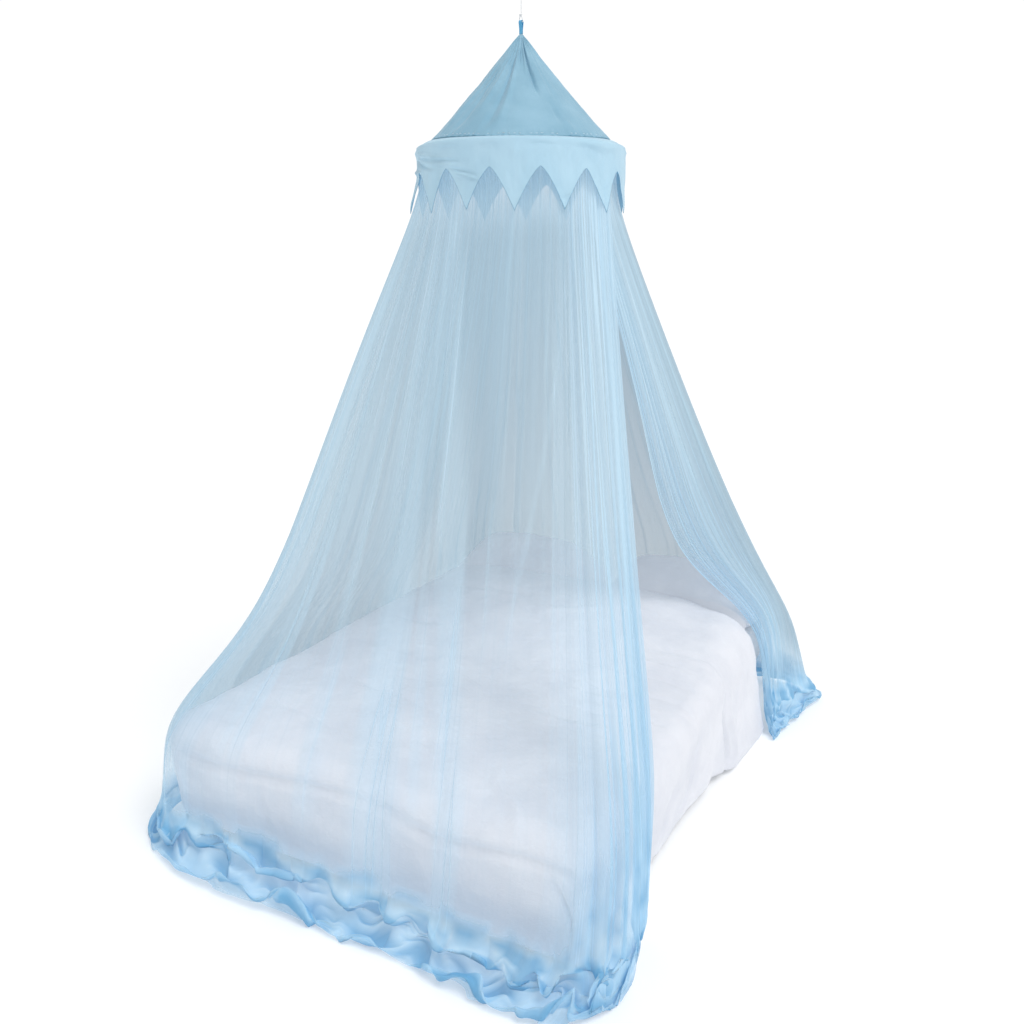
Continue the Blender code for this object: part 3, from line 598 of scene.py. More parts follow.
def stitch_row(ring, thread):
    """Thread stitches along a closed ring of points; some sink out of sight in the puckers."""
    sewing = Growth("seam_stitches", Count=STITCH_COUNT, Length=STITCH_LENGTH, Thread=STITCH_THREAD,
                    Shown=STITCHES_SHOWN, Seed=4)
    given = sewing.given
    line = sewing.node("GeometryNodeMeshToCurve", {"Mesh": given["Line"]})
    line = sewing.node("GeometryNodeResampleCurve", {"Curve": line, "Count": given["Count"]})
    tangent = sewing.node("GeometryNodeInputTangent")
    turned_along = sewing.node("FunctionNodeAlignRotationToVector", {"Vector": tangent})
    shown = sewing.node("FunctionNodeRandomValue", {"Probability": given["Shown"], "Seed": given["Seed"]}, 3,
                        data_type="BOOLEAN")
    bead = sewing.node("GeometryNodeMeshUVSphere", {"Segments": 8, "Rings": 6, "Radius": 0.5})
    bead = sewing.node("GeometryNodeSetShadeSmooth", {"Geometry": bead})
    sides = {"X": given["Thread"], "Y": given["Thread"], "Z": given["Length"]}
    size = sewing.node("ShaderNodeCombineXYZ", sides)
    repeats = sewing.node("GeometryNodeInstanceOnPoints", {
        "Points": line, "Selection": shown, "Instance": bead, "Rotation": turned_along, "Scale": size,
    })
    return sewing.grown_on(ring.tolist(), repeats, thread)


def stitch_finish():
    thread = Finish("pale_sewing_thread", Roughness=0.7, Sheen_Weight=0.3)
    place = thread.place()
    twist = (thread.part(place, 0) + thread.part(place, 1) + thread.part(place, 2)).waves(900.0)
    thread.wear(Base_Color=thread.mix(twist, colour(188, 216, 230), colour(214, 234, 243)))
    thread.relief(twist, 0.0002)
    return thread.material


def edge_values(points):
    """Marks a sheet's last row as its rim."""
    rim = np.zeros(points.shape[:2])
    rim[-1] = 1.0
    return {"rim": rim}


roof_line = roof_points()
roof_mesh = cloth("roof", roof_line, cut_of(roof_line, True), closes=True, values=edge_values(roof_line))
# The roof's fabric is the band's, but its colours are darker: painted shade.
roof_shaded_finish = fabric_finish("blue_roof_fabric_shaded", colour(130, 175, 198), colour(152, 193, 214), FABRIC_THREADS,
                            FABRIC_RELIEF, FABRIC_CREASE, rim=colour(70, 125, 152))
roof = into_scene("roof", roof_mesh, roof_shaded_finish)
given_thickness(roof, FABRIC_THICKNESS)
stitches = into_scene("roof_stitches", stitch_row(roof_line[STITCH_ROW] + STITCH_OUT, stitch_finish()))
for piece in (roof, stitches):
    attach(piece, "root")
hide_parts("cone_roof")


# The hoop: a ring of pale plastic rod that spreads the band and the net. It lies hidden in the
# band's roll.
HOOP_Z = 2.113
HOOP_RADIUS = 0.331
HOOP_ROD = 0.0035


def rod_finish():
    rod = Finish("hoop_rod_plastic", Roughness=0.45)
    scuffs = rod.cloud(rod.place(), (60.0, 60.0, 400.0), detail=4.0)
    shade = rod.mix(scuffs, colour(206, 214, 218), colour(226, 232, 235))
    rod.wear(Base_Color=shade, Roughness=0.35 + scuffs * 0.2)
    rod.relief(scuffs, 0.0001)
    return rod.material


hoop_outs = directions(160)
hoop_path = hoop_outs * HOOP_RADIUS + [CANOPY_X, CANOPY_Y, HOOP_Z]
hoop = into_scene("hoop_ring", tube("hoop_ring", hoop_path, hoop_outs, HOOP_ROD, 12), rod_finish())
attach(hoop, "root")
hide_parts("hoop")


# The net: one long sheet of sheer blue netting, gathered in fine pleats to the hoop. It falls over
# the bed on all sides, lies in heaps on the floor, and opens on the bed's right between its edges.
NET_TOP_RADIUS = 0.3305
NET_TOP_Z = HOOP_Z - HOOP_ROD - 0.0007
NET_BACK_TUCK = 0.016
NET_LIE_Z = 0.004
NET_LOWEST_Z = 0.0012
NET_COLUMNS = 1250
NET_ROWS = (42, 13, 24)
NET_SOFT_ROWS = slice(30, 77)
NET_WIDTH = 8.6
NET_DRAW_REACH = 0.05
NET_SAG_SCALE = 1.72
NET_SEED = 11
HEM_FIRST_ROW = 55
HEM_PLEAT_WIDTH = 0.07

# One row for each section, clockwise from the front free edge to the back one. draw_in and sag_in
# are how far it hangs in high up and low down, sag_side how far sideways. folds is how many broad
# folds it has up to the next section, pleats how many fine ones. full is how closely the cloth is
# bunched there, tone how much painted shade greys its face and makes it closer, for the
# shaded inside of the canopy seen through it, and heap how high its hem lies.
NetSection = namedtuple(
    "NetSection",
    "turn draw_in sag_in sag_side knee_x knee_y knee_z floor_x floor_y hem_x hem_y "
    "folds pleats full tone heap",
)
NET_SECTIONS = [NetSection(*row) for row in [
    (-7, 0.080, -0.012, 0.0, 0.742, -0.590, 0.42, 0.766, -0.675, 0.790, -0.735, 2, 7, 1.5, 0.0, 0.06),
    (-20, 0.105, -0.010, 0.0, 0.775, -0.760, 0.42, 0.805, -0.830, 0.815, -0.900, 2, 8, 1.5, 0.0, 0.09),
    (-33, 0.125, -0.005, 0.0, 0.768, -0.930, 0.42, 0.775, -0.985, 0.745, -1.055, 2, 7, 1.1, 0.0, 0.12),
    (-43, 0.125, 0.0, 0.0, 0.640, -0.990, 0.41, 0.610, -1.035, 0.580, -1.100, 1, 4, 0.7, 0.0, 0.09),
    (-65, 0.120, 0.010, 0.0, 0.430, -0.990, 0.41, 0.410, -1.030, 0.400, -1.085, 1, 5, 0.6, 0.0, 0.08),
    (-92, 0.115, 0.025, 0.0, 0.200, -0.990, 0.41, 0.190, -1.020, 0.190, -1.070, 2, 6, 0.7, 0.0, 0.08),
    (-112, 0.110, 0.045, 0.0, -0.120, -0.990, 0.41, -0.110, -1.020, -0.080, -1.090, 1, 5, 0.7, 0.0, 0.09),
    (-130, 0.105, 0.080, 0.0, -0.420, -0.990, 0.41, -0.400, -1.020, -0.370, -1.110, 1, 5, 0.8, 0.1, 0.10),
    (-142, 0.095, 0.115, 0.0, -0.655, -0.978, 0.40, -0.650, -1.010, -0.640, -1.060, 1, 5, 0.9, 0.3, 0.11),
    (-150, 0.082, 0.115, 0.0, -0.752, -0.870, 0.41, -0.785, -0.915, -0.800, -0.930, 1, 5, 1.1, 0.6, 0.07),
    (-165, 0.082, 0.100, 0.0, -0.770, -0.600, 0.42, -0.810, -0.620, -0.870, -0.640, 2, 8, 1.3, 1.0, 0.05),
    (-190, 0.085, 0.080, 0.0, -0.770, -0.100, 0.43, -0.820, -0.100, -0.920, -0.090, 2, 8, 1.4, 1.0, 0.05),
    (-212, 0.090, 0.060, 0.0, -0.770, 0.400, 0.45, -0.820, 0.420, -0.930, 0.460, 2, 7, 1.5, 1.0, 0.05),
    (-228, 0.105, 0.040, 0.0, -0.790, 0.900, 0.50, -0.840, 0.960, -0.900, 1.020, 1, 5, 1.5, 1.0, 0.05),
    (-245, 0.105, 0.020, 0.0, -0.560, 1.030, 0.56, -0.580, 1.080, -0.600, 1.160, 2, 7, 1.5, 1.0, 0.05),
    (-275, 0.090, 0.010, 0.0, 0.000, 1.040, 0.57, 0.000, 1.090, 0.000, 1.190, 2, 7, 1.5, 1.0, 0.05),
    (-305, 0.105, 0.010, 0.0, 0.520, 1.030, 0.54, 0.550, 1.080, 0.580, 1.150, 1, 5, 1.4, 1.0, 0.06),
    (-331, 0.100, 0.005, 0.0, 0.774, 0.918, 0.40, 0.860, 1.020, 0.890, 1.060, 1, 4, 1.2, 0.9, 0.07),
    (-348, 0.100, 0.012, 0.015, 0.768, 0.800, 0.47, 0.840, 0.830, 0.880, 0.880, 1, 5, 1.2, 0.75, 0.07),
    (-362, 0.115, 0.050, 0.100, 0.745, 0.700, 0.475, 0.805, 0.680, 0.850, 0.710, 2, 10, 1.6, 0.2, 0.07),
    (-374, 0.125, 0.075, 0.165, 0.703, 0.658, 0.46, 0.800, 0.620, 0.822, 0.570, 0, 0, 1.7, 0.0, 0.06),
]]
LAST_SECTION = len(NET_SECTIONS) - 1.0

# Where the sheet's fullness has drawn together into denser bands: each runs from section high at the
# hoop to section low at the knee, is wide sections across, and starts and ends at a way down it.
NetBand = namedtuple("NetBand", "high low wide start end more")
NET_BANDS = [
    NetBand(0.06, 0.04, 0.10, 0.0, 3.0, 1.8),
    NetBand(0.75, 0.60, 0.40, 0.0, 3.0, 0.9),
    NetBand(1.60, 1.55, 1.20, 0.0, 2.6, 0.45),
    NetBand(1.50, 1.35, 0.25, 0.0, 2.6, 0.5),
    NetBand(2.40, 2.15, 0.14, 0.0, 2.4, 0.5),
    NetBand(2.10, 4.27, 0.05, 0.3, 0.9, 0.8),
    NetBand(4.00, 4.00, 0.05, 0.0, 0.9, 0.8),
    NetBand(5.35, 4.35, 0.20, 0.0, 2.0, 1.2),
    NetBand(5.60, 4.80, 0.08, 0.0, 1.2, 0.7),
    NetBand(6.00, 5.25, 0.24, 0.0, 2.1, 1.3),
    NetBand(6.60, 6.00, 0.12, 0.0, 1.5, 0.8),
    NetBand(7.10, 7.00, 0.20, 0.1, 1.2, 0.5),
    NetBand(8.20, 8.30, 0.40, 0.0, 1.2, 0.6),
    NetBand(19.20, 19.30, 0.35, 0.0, 3.0, 0.9),
    NetBand(19.95, 19.95, 0.12, 0.0, 3.0, 1.2),
]

# How deep the broad folds and the fine pleats are, at ways down the sheet: 0 is the hoop, 1 the
# knee, 2 the floor and 3 the hem.
NetDepth = namedtuple("NetDepth", "way broad fine")
NET_DEPTHS = [
    NetDepth(0.00, 0.0016, 0.0012), NetDepth(0.10, 0.0045, 0.0018), NetDepth(0.30, 0.0070, 0.0026),
    NetDepth(0.55, 0.0090, 0.0032), NetDepth(0.80, 0.0100, 0.0040), NetDepth(1.00, 0.0095, 0.0048),
    NetDepth(1.40, 0.0100, 0.0050), NetDepth(1.80, 0.0100, 0.0050), NetDepth(2.00, 0.0080, 0.0040),
    NetDepth(2.50, 0.0040, 0.0025), NetDepth(3.00, 0.0030, 0.0025),
]

# The fine pleats come in two runs: pleats a section row, their share of the depth, and how uneven
# their widths are. Each pleat's drift, height and lean wander down the sheet between two limits.
PLEAT_RUNS = [(1.0, 1.0, 0.55), (0.43, 0.8, 0.45)]
PLEAT_LIMITS = [(-0.16, 0.16), (0.15, 1.10), (-0.04, 0.16)]

# The hem's noises: how they stretch along and down the sheet and skew, which layer of the noise
# they read, their size and their seed.
HemNoise = namedtuple("HemNoise", "along down skew layer size seed")
HEM_SWELLS = HemNoise(0.5, 0.06, 0.0, 0.0, 0.11, 5.0)
HEM_ROLLS = HemNoise(0.25, 0.05, 0.0, 0.4, 0.05, 9.0)
HEM_CREASES = HemNoise(0.2, 0.2, 0.06, 0.7, 0.045, 2.0)


def through(values, position):
    """A smooth curve through evenly numbered values, or rows of them, read at fractional indices."""
    values = np.asarray(values, dtype=float)
    last = len(values) - 1
    index = np.clip(position.astype(int), 0, last - 1)
    t = (position - index).reshape(-1, *[1] * (values.ndim - 1))
    before, start = values[np.maximum(index - 1, 0)], values[index]
    end, after = values[index + 1], values[np.minimum(index + 2, last)]
    straight, out, into = end - start, 0.5 * (end - before), 0.5 * (after - start)
    return start + t * (out + t * ((3 * straight - 2 * out - into) + t * (out + into - 2 * straight)))


def section(column, position):
    return through([getattr(row, column) for row in NET_SECTIONS], position)


def unit(vectors):
    return vectors / (np.linalg.norm(vectors, axis=-1, keepdims=True) + 1e-12)


def net_rest(position, way):
    """The smooth sheet before its pleats: columns at section positions, rows at ways down it."""
    reach = NET_TOP_RADIUS - NET_BACK_TUCK * step_up(position, LAST_SECTION - 3.0, LAST_SECTION)
    level = 0 * position
    top = on_axis(section("turn", position), reach, NET_TOP_Z + level) + [CANOPY_X, CANOPY_Y, 0.0]
    knee = np.stack([section("knee_" + axis, position) for axis in "xyz"], axis=-1)
    floor = np.stack([section("floor_x", position), section("floor_y", position), level], axis=-1)
    hem = np.stack([section("hem_x", position), section("hem_y", position), level], axis=-1)
    inward = unit((top - knee) * [1.0, 1.0, 0.0])
    sideways = np.stack([inward[:, 1], -inward[:, 0], level], axis=-1)
    draw = section("draw_in", position)[:, None] * inward
    sag = section("sag_in", position)[:, None] * inward + section("sag_side", position)[:, None] * sideways
    rows = []
    for w in way:
        fall, drop, lie = min(w, 1.0), min(max(w - 1.0, 0.0), 1.0), max(w - 2.0, 0.0)
        drawn = (1 - math.exp(-fall / NET_DRAW_REACH)) * (1 - fall ** 4)
        sagged = NET_SAG_SCALE * fall ** 2 * (1 - fall ** 10)
        place = top + (knee - top) * fall + draw * drawn + sag * sagged
        place = place + (floor - knee) * drop + (hem - floor) * lie
        place[:, 2] = np.maximum(place[:, 2], NET_LIE_Z)
        rows.append(place)
    return np.array(rows)


def softened(points, rows, rounds):
    """Rounds a sheet's bends down its columns, over the given rows."""
    points = points.copy()
    for _ in range(rounds):
        near = points[rows.start - 1:rows.stop - 1] + points[rows.start + 1:rows.stop + 1]
        points[rows] = 0.5 * points[rows] + 0.25 * near
    return points


def facing(points):
    """Unit directions out of a sheet and along its rows."""
    along, down = np.gradient(points, axis=1), np.gradient(points, axis=0)
    return unit(np.cross(along, down)), unit(along)


def pleat_run(count, phase, uneven, rng):
    """Where each column is in a run of pleats of random widths, as pleat number and the rest."""
    widths = rng.uniform(1.0 - uneven, 1.0 + uneven, count + 2)
    edges = np.concatenate([[0.0], np.cumsum(widths)])
    edges *= phase[-1] / edges[count]
    return np.interp(phase, edges, np.arange(len(edges)))


def random_down(count, way, rng, low, high, stops=9):
    """For each pleat, a value that wanders smoothly down the sheet between low and high."""
    return through(rng.uniform(low, high, (stops, count + 4)), way / way[-1] * (stops - 1))


def add_pleats(rest, position, phase, way, rng):
    """Folds the smooth sheet in broad folds and fine pleats."""
    folds = np.cumsum([0.0] + [row.folds for row in NET_SECTIONS[:-1]])
    fold_phase = np.interp(position, np.arange(len(NET_SECTIONS)), folds)
    out, along = facing(rest)
    stops = [row.way for row in NET_DEPTHS]
    broad, fine = (np.interp(way, stops, [row[i] for row in NET_DEPTHS])[:, None] for i in (1, 2))
    full = section("full", position)[None, :]
    tone = np.clip(section("tone", position), 0.0, 1.0)[None, :]
    # The sheets that take painted shade get shallower folds and pleats.
    shift = broad * (1 - 0.95 * tone) * (1 + 0.35 * np.sin(1.7 * fold_phase)) * np.cos(2 * np.pi * fold_phase)
    side = 0 * shift
    height_of = fine * (1 - 0.85 * tone) * np.minimum(full, 1.4)
    spacing = np.linalg.norm(np.gradient(rest, axis=1), axis=2) / np.gradient(phase)[None, :]
    spread = (1 - 0.9 * tone) * full * spacing * step_up(way, 0.02, 0.25)[:, None]
    for per_pleat, share, uneven in PLEAT_RUNS:
        count = int(phase[-1] * per_pleat)
        run = pleat_run(count, phase, uneven, rng)
        number = np.floor(run).astype(int)
        blend = step_up(run - number, 0.0, 1.0)[None, :]
        values = []
        for low, high in PLEAT_LIMITS:
            table = random_down(count, way, rng, low, high)
            values.append(table[:, number] * (1 - blend) + table[:, number + 1] * blend)
        drift, height, lean = values
        turn = 2 * np.pi * (run[None, :] + drift)
        shift = shift + share * height_of * height * np.cos(turn)
        side = side + share / per_pleat * spread * lean * np.sin(turn)
    on_floor = step_up(way, 1.75, 2.15)[:, None, None]
    lying = out * [0.6, 0.6, 0.0] + np.array([0.0, 0.0, 0.4])
    push = out * (1 - on_floor) + lying * on_floor
    return rest + push * shift[..., None] + along * side[..., None]


def heap_hem(points, rest, position, phase, way):
    """Ruffles the sheet's foot: it folds on itself in long soft rolls that lie round the bed."""
    _, along = facing(rest)
    away = unit(rest[-1] - rest[HEM_FIRST_ROW])
    run = phase[None, :] * HEM_PLEAT_WIDTH + 0 * way[:, None]
    level = way[:, None] + 0 * run

    def noise_of(row):
        across = run * row.along + level * row.skew
        return lumps(np.stack([across, level * row.down, 0 * run + row.layer], axis=-1), row.size, row.seed, 2)

    broad, rolls, crease = (noise_of(row) for row in (HEM_SWELLS, HEM_ROLLS, HEM_CREASES))
    lie = np.clip((level - 1.62) / 1.38, 0.0, 1.0)
    turn = 2 * np.pi * (1.7 * lie + 0.55 * broad + 0.35 * rolls)
    swell = step_up(lie, 0.0, 0.32) * (1 - 0.62 * step_up(lie, 0.6, 1.0))
    heap = section("heap", position)[None, :] * swell
    ridge = 1.0 - 2.2 * np.abs(crease)
    lift = heap * (0.40 - 0.26 * np.cos(turn) + 0.30 * broad + 0.20 * ridge)
    outwards = heap * (0.30 * np.sin(turn) + 0.30 * rolls + 0.12 * crease)
    points = points + away[None] * outwards[..., None]
    points += along * (heap * (0.30 * rolls - 0.25 * broad))[..., None]
    points[..., 2] = np.maximum(points[..., 2] + np.clip(lift, 0.0, None), NET_LOWEST_Z)
    return points, np.clip(np.abs(crease) * 2.4, 0.0, 1.0)


def band_fullness(position, way):
    """How much more cloth the bands hold at each point."""
    more = np.zeros((len(way), len(position)))
    for row in NET_BANDS:
        middle = row.high + (row.low - row.high) * np.minimum(way, 1.0)
        off = (position[None, :] - middle[:, None]) / row.wide
        lasts = between(way, row.start - 0.1, 0.2, row.end, 0.3)
        more += row.more * np.exp(-off ** 4) * lasts[:, None]
    return more


def net_sheet():
    """The sheet's points, its flat cut, and what its cloth is like at each point."""
    rng = np.random.default_rng(NET_SEED)
    starts = np.linspace(0, 1, NET_ROWS[0])
    steps = [stage + np.linspace(0, 1, rows + 1)[1:] for stage, rows in enumerate(NET_ROWS[1:], 1)]
    way = np.concatenate([starts, *steps])
    pleats = np.cumsum([0.0] + [row.pleats for row in NET_SECTIONS[:-1]])
    phase = np.linspace(0.0, pleats[-1], NET_COLUMNS)
    position = np.interp(phase, pleats, np.arange(len(NET_SECTIONS)))
    rest = softened(net_rest(position, way), NET_SOFT_ROWS, 10)
    points, valley = heap_hem(add_pleats(rest, position, phase, way, rng), rest, position, phase, way)

    cloth_width, rest_width = (np.linalg.norm(np.gradient(sheet, axis=1), axis=2) for sheet in (points, rest))
    folded = np.clip(cloth_width / rest_width, 0.8, 5.0) ** 0.5
    packed = np.clip(NET_WIDTH / NET_COLUMNS / cloth_width, 0.5, 3.0) ** 0.6
    # The painted shade on the back sheets fades out near the hoop and lower down.
    painted_shade_reach = (0.2 + 0.8 * step_up(way, 0.03, 0.17)) * (1 - 0.6 * step_up(way, 1.2, 1.7))
    tone = section("tone", position)[None, :] * painted_shade_reach[:, None]
    thinned = 1 - 0.5 * step_up(way, 0.5, 0.85)[:, None] * (1 - tone)
    full = folded * packed * section("full", position)[None, :] * thinned + band_fullness(position, way)
    at_hem = step_up(way, 2.6, 3.0)[:, None]
    lying = step_up(way[:, None] + 0.07 * (valley - 0.5), 1.55, 1.76) * (1 - 0.7 * at_hem)
    front_corner = (1 - step_up(position, 2.2, 2.9))[None, :] * step_up(way, 0.85, 1.6)[:, None]
    lying = np.maximum(lying, 0.5 * front_corner)

    across = phase / phase[-1] * NET_WIDTH
    cut = np.stack(np.broadcast_arrays(across[None, :], run_down(points)[:, None]), axis=-1)
    return points, cut, {"full": full, "tone": np.clip(tone, 0.0, 1.0), "lying": lying, "valley": valley}


def net_finish():
    """Sheer netting: more see-through where it is single, closer where it is folded or heaped."""
    # The netting glows in its own colour: painted light, standing in for light through the thin cloth and
    # flattening its shading.
    net = Finish("sheer_blue_netting", Roughness=0.75, Sheen_Weight=0.15, Emission_Strength=0.75)
    cut = net.cut()
    full, tone, lying, valley = (net.attribute(name) for name in ("full", "tone", "lying", "valley"))
    plain = 1.0 - tone * 0.75
    streak = net.cloud(cut, (30.0, 0.55, 1.0), detail=4.0, roughness=0.6).ramp(0.32, 0.70) * plain
    swathe = net.cloud(cut, (5.0, 0.45, 1.0), detail=1.0).ramp(0.3, 0.7) * plain
    crest = 1.0 - (net.cloud(cut, (9.0, 0.30, 1.0), detail=2.5) * 2.0 - 1.0).maths("ABSOLUTE")
    line = crest ** 40.0 * plain
    layers = full * (0.64 + streak * 0.30 + swathe * 0.20) + line * (0.05 + full * full * 0.7)
    # At the back the cloth is made closer and greyer: painted shade for the shaded inside of the canopy behind
    # it.
    inner = 1.0 + tone * 3.8
    density = layers * inner + lying * (4.5 + valley * 2.0)
    alpha = ((1.0 - 0.78 ** density) * (0.97 + net.weave(420.0) * 0.05)).maths("MINIMUM", 0.95)

    folded = (density / inner).ramp(0.8, 3.0)
    low = net.part(cut, 1).ramp(0.9, 1.8)
    # Both colours turn greyer at the back: painted shade.
    single = net.mix(low, colour(162, 186, 199), colour(148, 180, 200))
    single = net.mix(tone, single, colour(113, 134, 147))
    close = net.mix(low, colour(153, 175, 188), colour(138, 167, 186))
    close = net.mix(tone, close, colour(130, 153, 166))
    # The heap on the floor is deeper blue in its valleys: painted shade, over the real closeness of its many
    # layers.
    heaped = net.mix(valley, colour(166, 202, 225), colour(90, 152, 192))
    shade = net.mix(lying * 0.9, net.mix(folded, single, close), heaped)
    # The painted glow is weaker where the net lies on the floor.
    glow = net.mix(lying * 0.6, shade, (0.0, 0.0, 0.0))
    net.wear(Base_Color=shade, Emission_Color=glow, Alpha=alpha)
    net.relief(streak * 0.5 + line * 0.4, 0.0004)
    return net.material


net_points, net_cut, net_values = net_sheet()
net = into_scene("netting", cloth("netting", net_points, net_cut, values=net_values), net_finish())
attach(net, "root")
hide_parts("net")


# The band: the roof's fabric again, cut along its lower edge into pointed teeth. It is sewn to the
# roof's foot, rolls over the hoop and hangs in front of the net's gathers.
TOOTH_COUNT = 14
TOOTH_TURN = -64.8
TOOTH_HOLLOW = 1.38
VALLEY_DROP = 0.078
TIP_DROP = 0.201
BAND_CLEARANCE = 0.014
BAND_ROLL_RISE = 0.0085
BAND_OUTER = HOOP_RADIUS + HOOP_ROD + 0.0008 + FABRIC_THICKNESS
BAND_EASE = 27
BAND_WAVES = ((5.0, 0.0, 0.0020), (11.0, 50.0, 0.0015))
BAND_HEM_WAVES = ((7.0, 20.0, 0.0022),)

# Drag lines in the band: where each is centred, its drop under the hoop, its rise for each degree,
# how thick and long it is, and how far it stands out.
Drag = namedtuple("Drag", "turn drop lean width length depth")
BAND_DRAGS = [
    Drag(-122.0, 0.030, 0.0010, 0.005, 16.0, 0.00660),
    Drag(-130.0, 0.052, 0.0013, 0.006, 14.0, -0.00770),
    Drag(-112.0, 0.046, 0.0008, 0.005, 18.0, -0.00550),
    Drag(-104.0, 0.066, 0.0009, 0.004, 10.0, 0.00484),
    Drag(-92.0, 0.090, 0.0014, 0.004, 7.0, -0.00484),
    Drag(-90.0, 0.104, 0.0014, 0.004, 7.0, 0.00484),
    Drag(-140.0, 0.075, 0.0004, 0.006, 12.0, 0.00770),
    Drag(-44.0, 0.060, -0.0003, 0.005, 9.0, -0.00308),
    Drag(-15.0, 0.050, -0.0008, 0.006, 12.0, 0.00550),
    Drag(30.0, 0.060, -0.0012, 0.006, 12.0, -0.00660),
    Drag(120.0, 0.050, 0.0009, 0.006, 16.0, 0.00616),
    Drag(170.0, 0.060, -0.0009, 0.006, 14.0, -0.00616),
]


def tooth_edge(turn):
    """How far the band's lower edge hangs under the hoop: hollow-sided points between valleys."""
    pitch = 360.0 / TOOTH_COUNT
    off = np.abs((turn - TOOTH_TURN + pitch / 2) % pitch - pitch / 2) / (pitch / 2)
    return VALLEY_DROP + (TIP_DROP - VALLEY_DROP) * (1.0 - off) ** TOOTH_HOLLOW


def net_outline(z, turns):
    """The smooth net's furthest reach from the axis near each turn, at a height under the hoop."""
    position = np.arange(0.0, LAST_SECTION + 0.05, 0.1)
    share = (NET_TOP_Z - z) / (NET_TOP_Z - section("knee_z", position))
    places = np.array([net_rest(np.array([p]), [w])[0, 0] for p, w in zip(position, share)])
    x, y = places[:, 0] - CANOPY_X, places[:, 1] - CANOPY_Y
    near = np.abs(turn_from(np.degrees(np.arctan2(y, x))[None, :], turns[:, None])) < 5.0
    return np.where(near, np.hypot(x, y)[None, :], 0.0).max(axis=1)


def band_roll(turns):
    """The band's reaches and heights from the roof's seam, over the hoop and round it."""
    lift = seam_lift(turns)
    seam_z = ROOF_FOOT_Z - FABRIC_THICKNESS + lift
    crest_z = HOOP_Z + BAND_ROLL_RISE - 0.001
    return [
        (ROOF_FOOT_RADIUS - 0.006, seam_z),
        (ROOF_FOOT_RADIUS - 0.001, seam_z + 0.0002),
        (ROOF_FOOT_RADIUS + 0.004, seam_z - 0.0012),
        (ROOF_FOOT_RADIUS + 0.012, seam_z * 0.75 + crest_z * 0.25 + 0.001),
        (ROOF_FOOT_RADIUS + 0.022, seam_z * 0.45 + crest_z * 0.55 + 0.001),
        (HOOP_RADIUS - 0.008, HOOP_Z + 0.0078 + 0.16 * lift),
        (HOOP_RADIUS - 0.002, HOOP_Z + 0.0066 + 0.1 * lift),
        (HOOP_RADIUS + 0.0025, HOOP_Z + 0.0052),
        (BAND_OUTER - 0.0002, HOOP_Z + 0.0025),
        (BAND_OUTER + 0.0003, HOOP_Z - 0.002),
    ]


def band_points():
    turns = TOOTH_TURN - np.arange(0.0, 360.0, 0.5)
    edge_z = HOOP_Z - tooth_edge(turns)
    under_z = HOOP_Z - 2 * HOOP_ROD
    levels = np.linspace(0.0, TIP_DROP, 12)
    reaches = np.array([net_outline(min(HOOP_Z - level, NET_TOP_Z - 0.001), turns) for level in levels])
    rows = [(reach + 0 * turns, z + 0 * turns) for reach, z in band_roll(turns)]
    for share in np.linspace(0.0, 1.0, 30)[1:]:
        z = under_z + (edge_z - under_z) * share
        reach = np.array([np.interp(HOOP_Z - z[i], levels, reaches[:, i]) for i in range(len(turns))])
        rows.append((np.maximum(BAND_OUTER + 0.001 * share, reach + BAND_CLEARANCE), z))
    radius, z = np.array(rows).transpose(1, 0, 2)
    ease = np.hanning(BAND_EASE) / np.hanning(BAND_EASE).sum()
    padded = np.pad(radius, ((0, 0), (BAND_EASE // 2, BAND_EASE // 2)), mode="wrap")
    radius = np.array([np.convolve(row, ease, mode="valid") for row in padded])
    places = on_axis(turns, radius, z)
    puff = 0.0022 * lumps(places * [1.0, 1.0, 0.6], 0.07, 1.0)
    puff += 0.0010 * lumps(places * [1.0, 1.0, 0.5], 0.025, 7.0)
    puff += ripples(turns, BAND_WAVES)[None, :]
    for drag in BAND_DRAGS:
        level = HOOP_Z - drag.drop - drag.lean * (turns - drag.turn)
        off = turn_from(turns, drag.turn) / drag.length
        puff += drag.depth * np.exp(-((z - level) / drag.width) ** 2) * np.exp(-off ** 4)
    hang = step_up(HOOP_Z - z, 0.004, 0.03)
    z = z + ripples(turns, BAND_HEM_WAVES)[None, :] * hang
    return on_axis(turns, radius + puff * hang + 0.0015, z) + [CANOPY_X, CANOPY_Y, 0.0]


band_line = band_points()
band_mesh = cloth("band", band_line, cut_of(band_line, True), closes=True, values=edge_values(band_line))
band_finish = fabric_finish("blue_band_fabric", colour(178, 215, 235), colour(190, 224, 242), FABRIC_THREADS,
                            FABRIC_RELIEF, FABRIC_CREASE, rim=colour(105, 160, 190))
band = into_scene("band", band_mesh, band_finish)
given_thickness(band, FABRIC_THICKNESS)
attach(band, "root")
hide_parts("valance")


# The bed base: a plain low box, covered in pale grey cloth. The covers hide all but its back.
BASE_LOW, BASE_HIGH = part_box("bed_base")
BASE_ROUNDING = 0.022


def corner_ring(low, high, corner, steps):
    """A rounded rectangle's corner centres and directions, counterclockwise."""
    ring = []
    for quarter in range(4):
        middle = math.radians(90 * quarter + 45)
        centre = [(h + l) / 2 + math.copysign((h - l) / 2 - corner, side)
                  for l, h, side in zip(low, high, (math.cos(middle), math.sin(middle)))]
        for step in range(steps + 1):
            turn = math.radians(90 * (quarter + step / steps))
            ring.append((*centre, math.cos(turn), math.sin(turn)))
    return ring


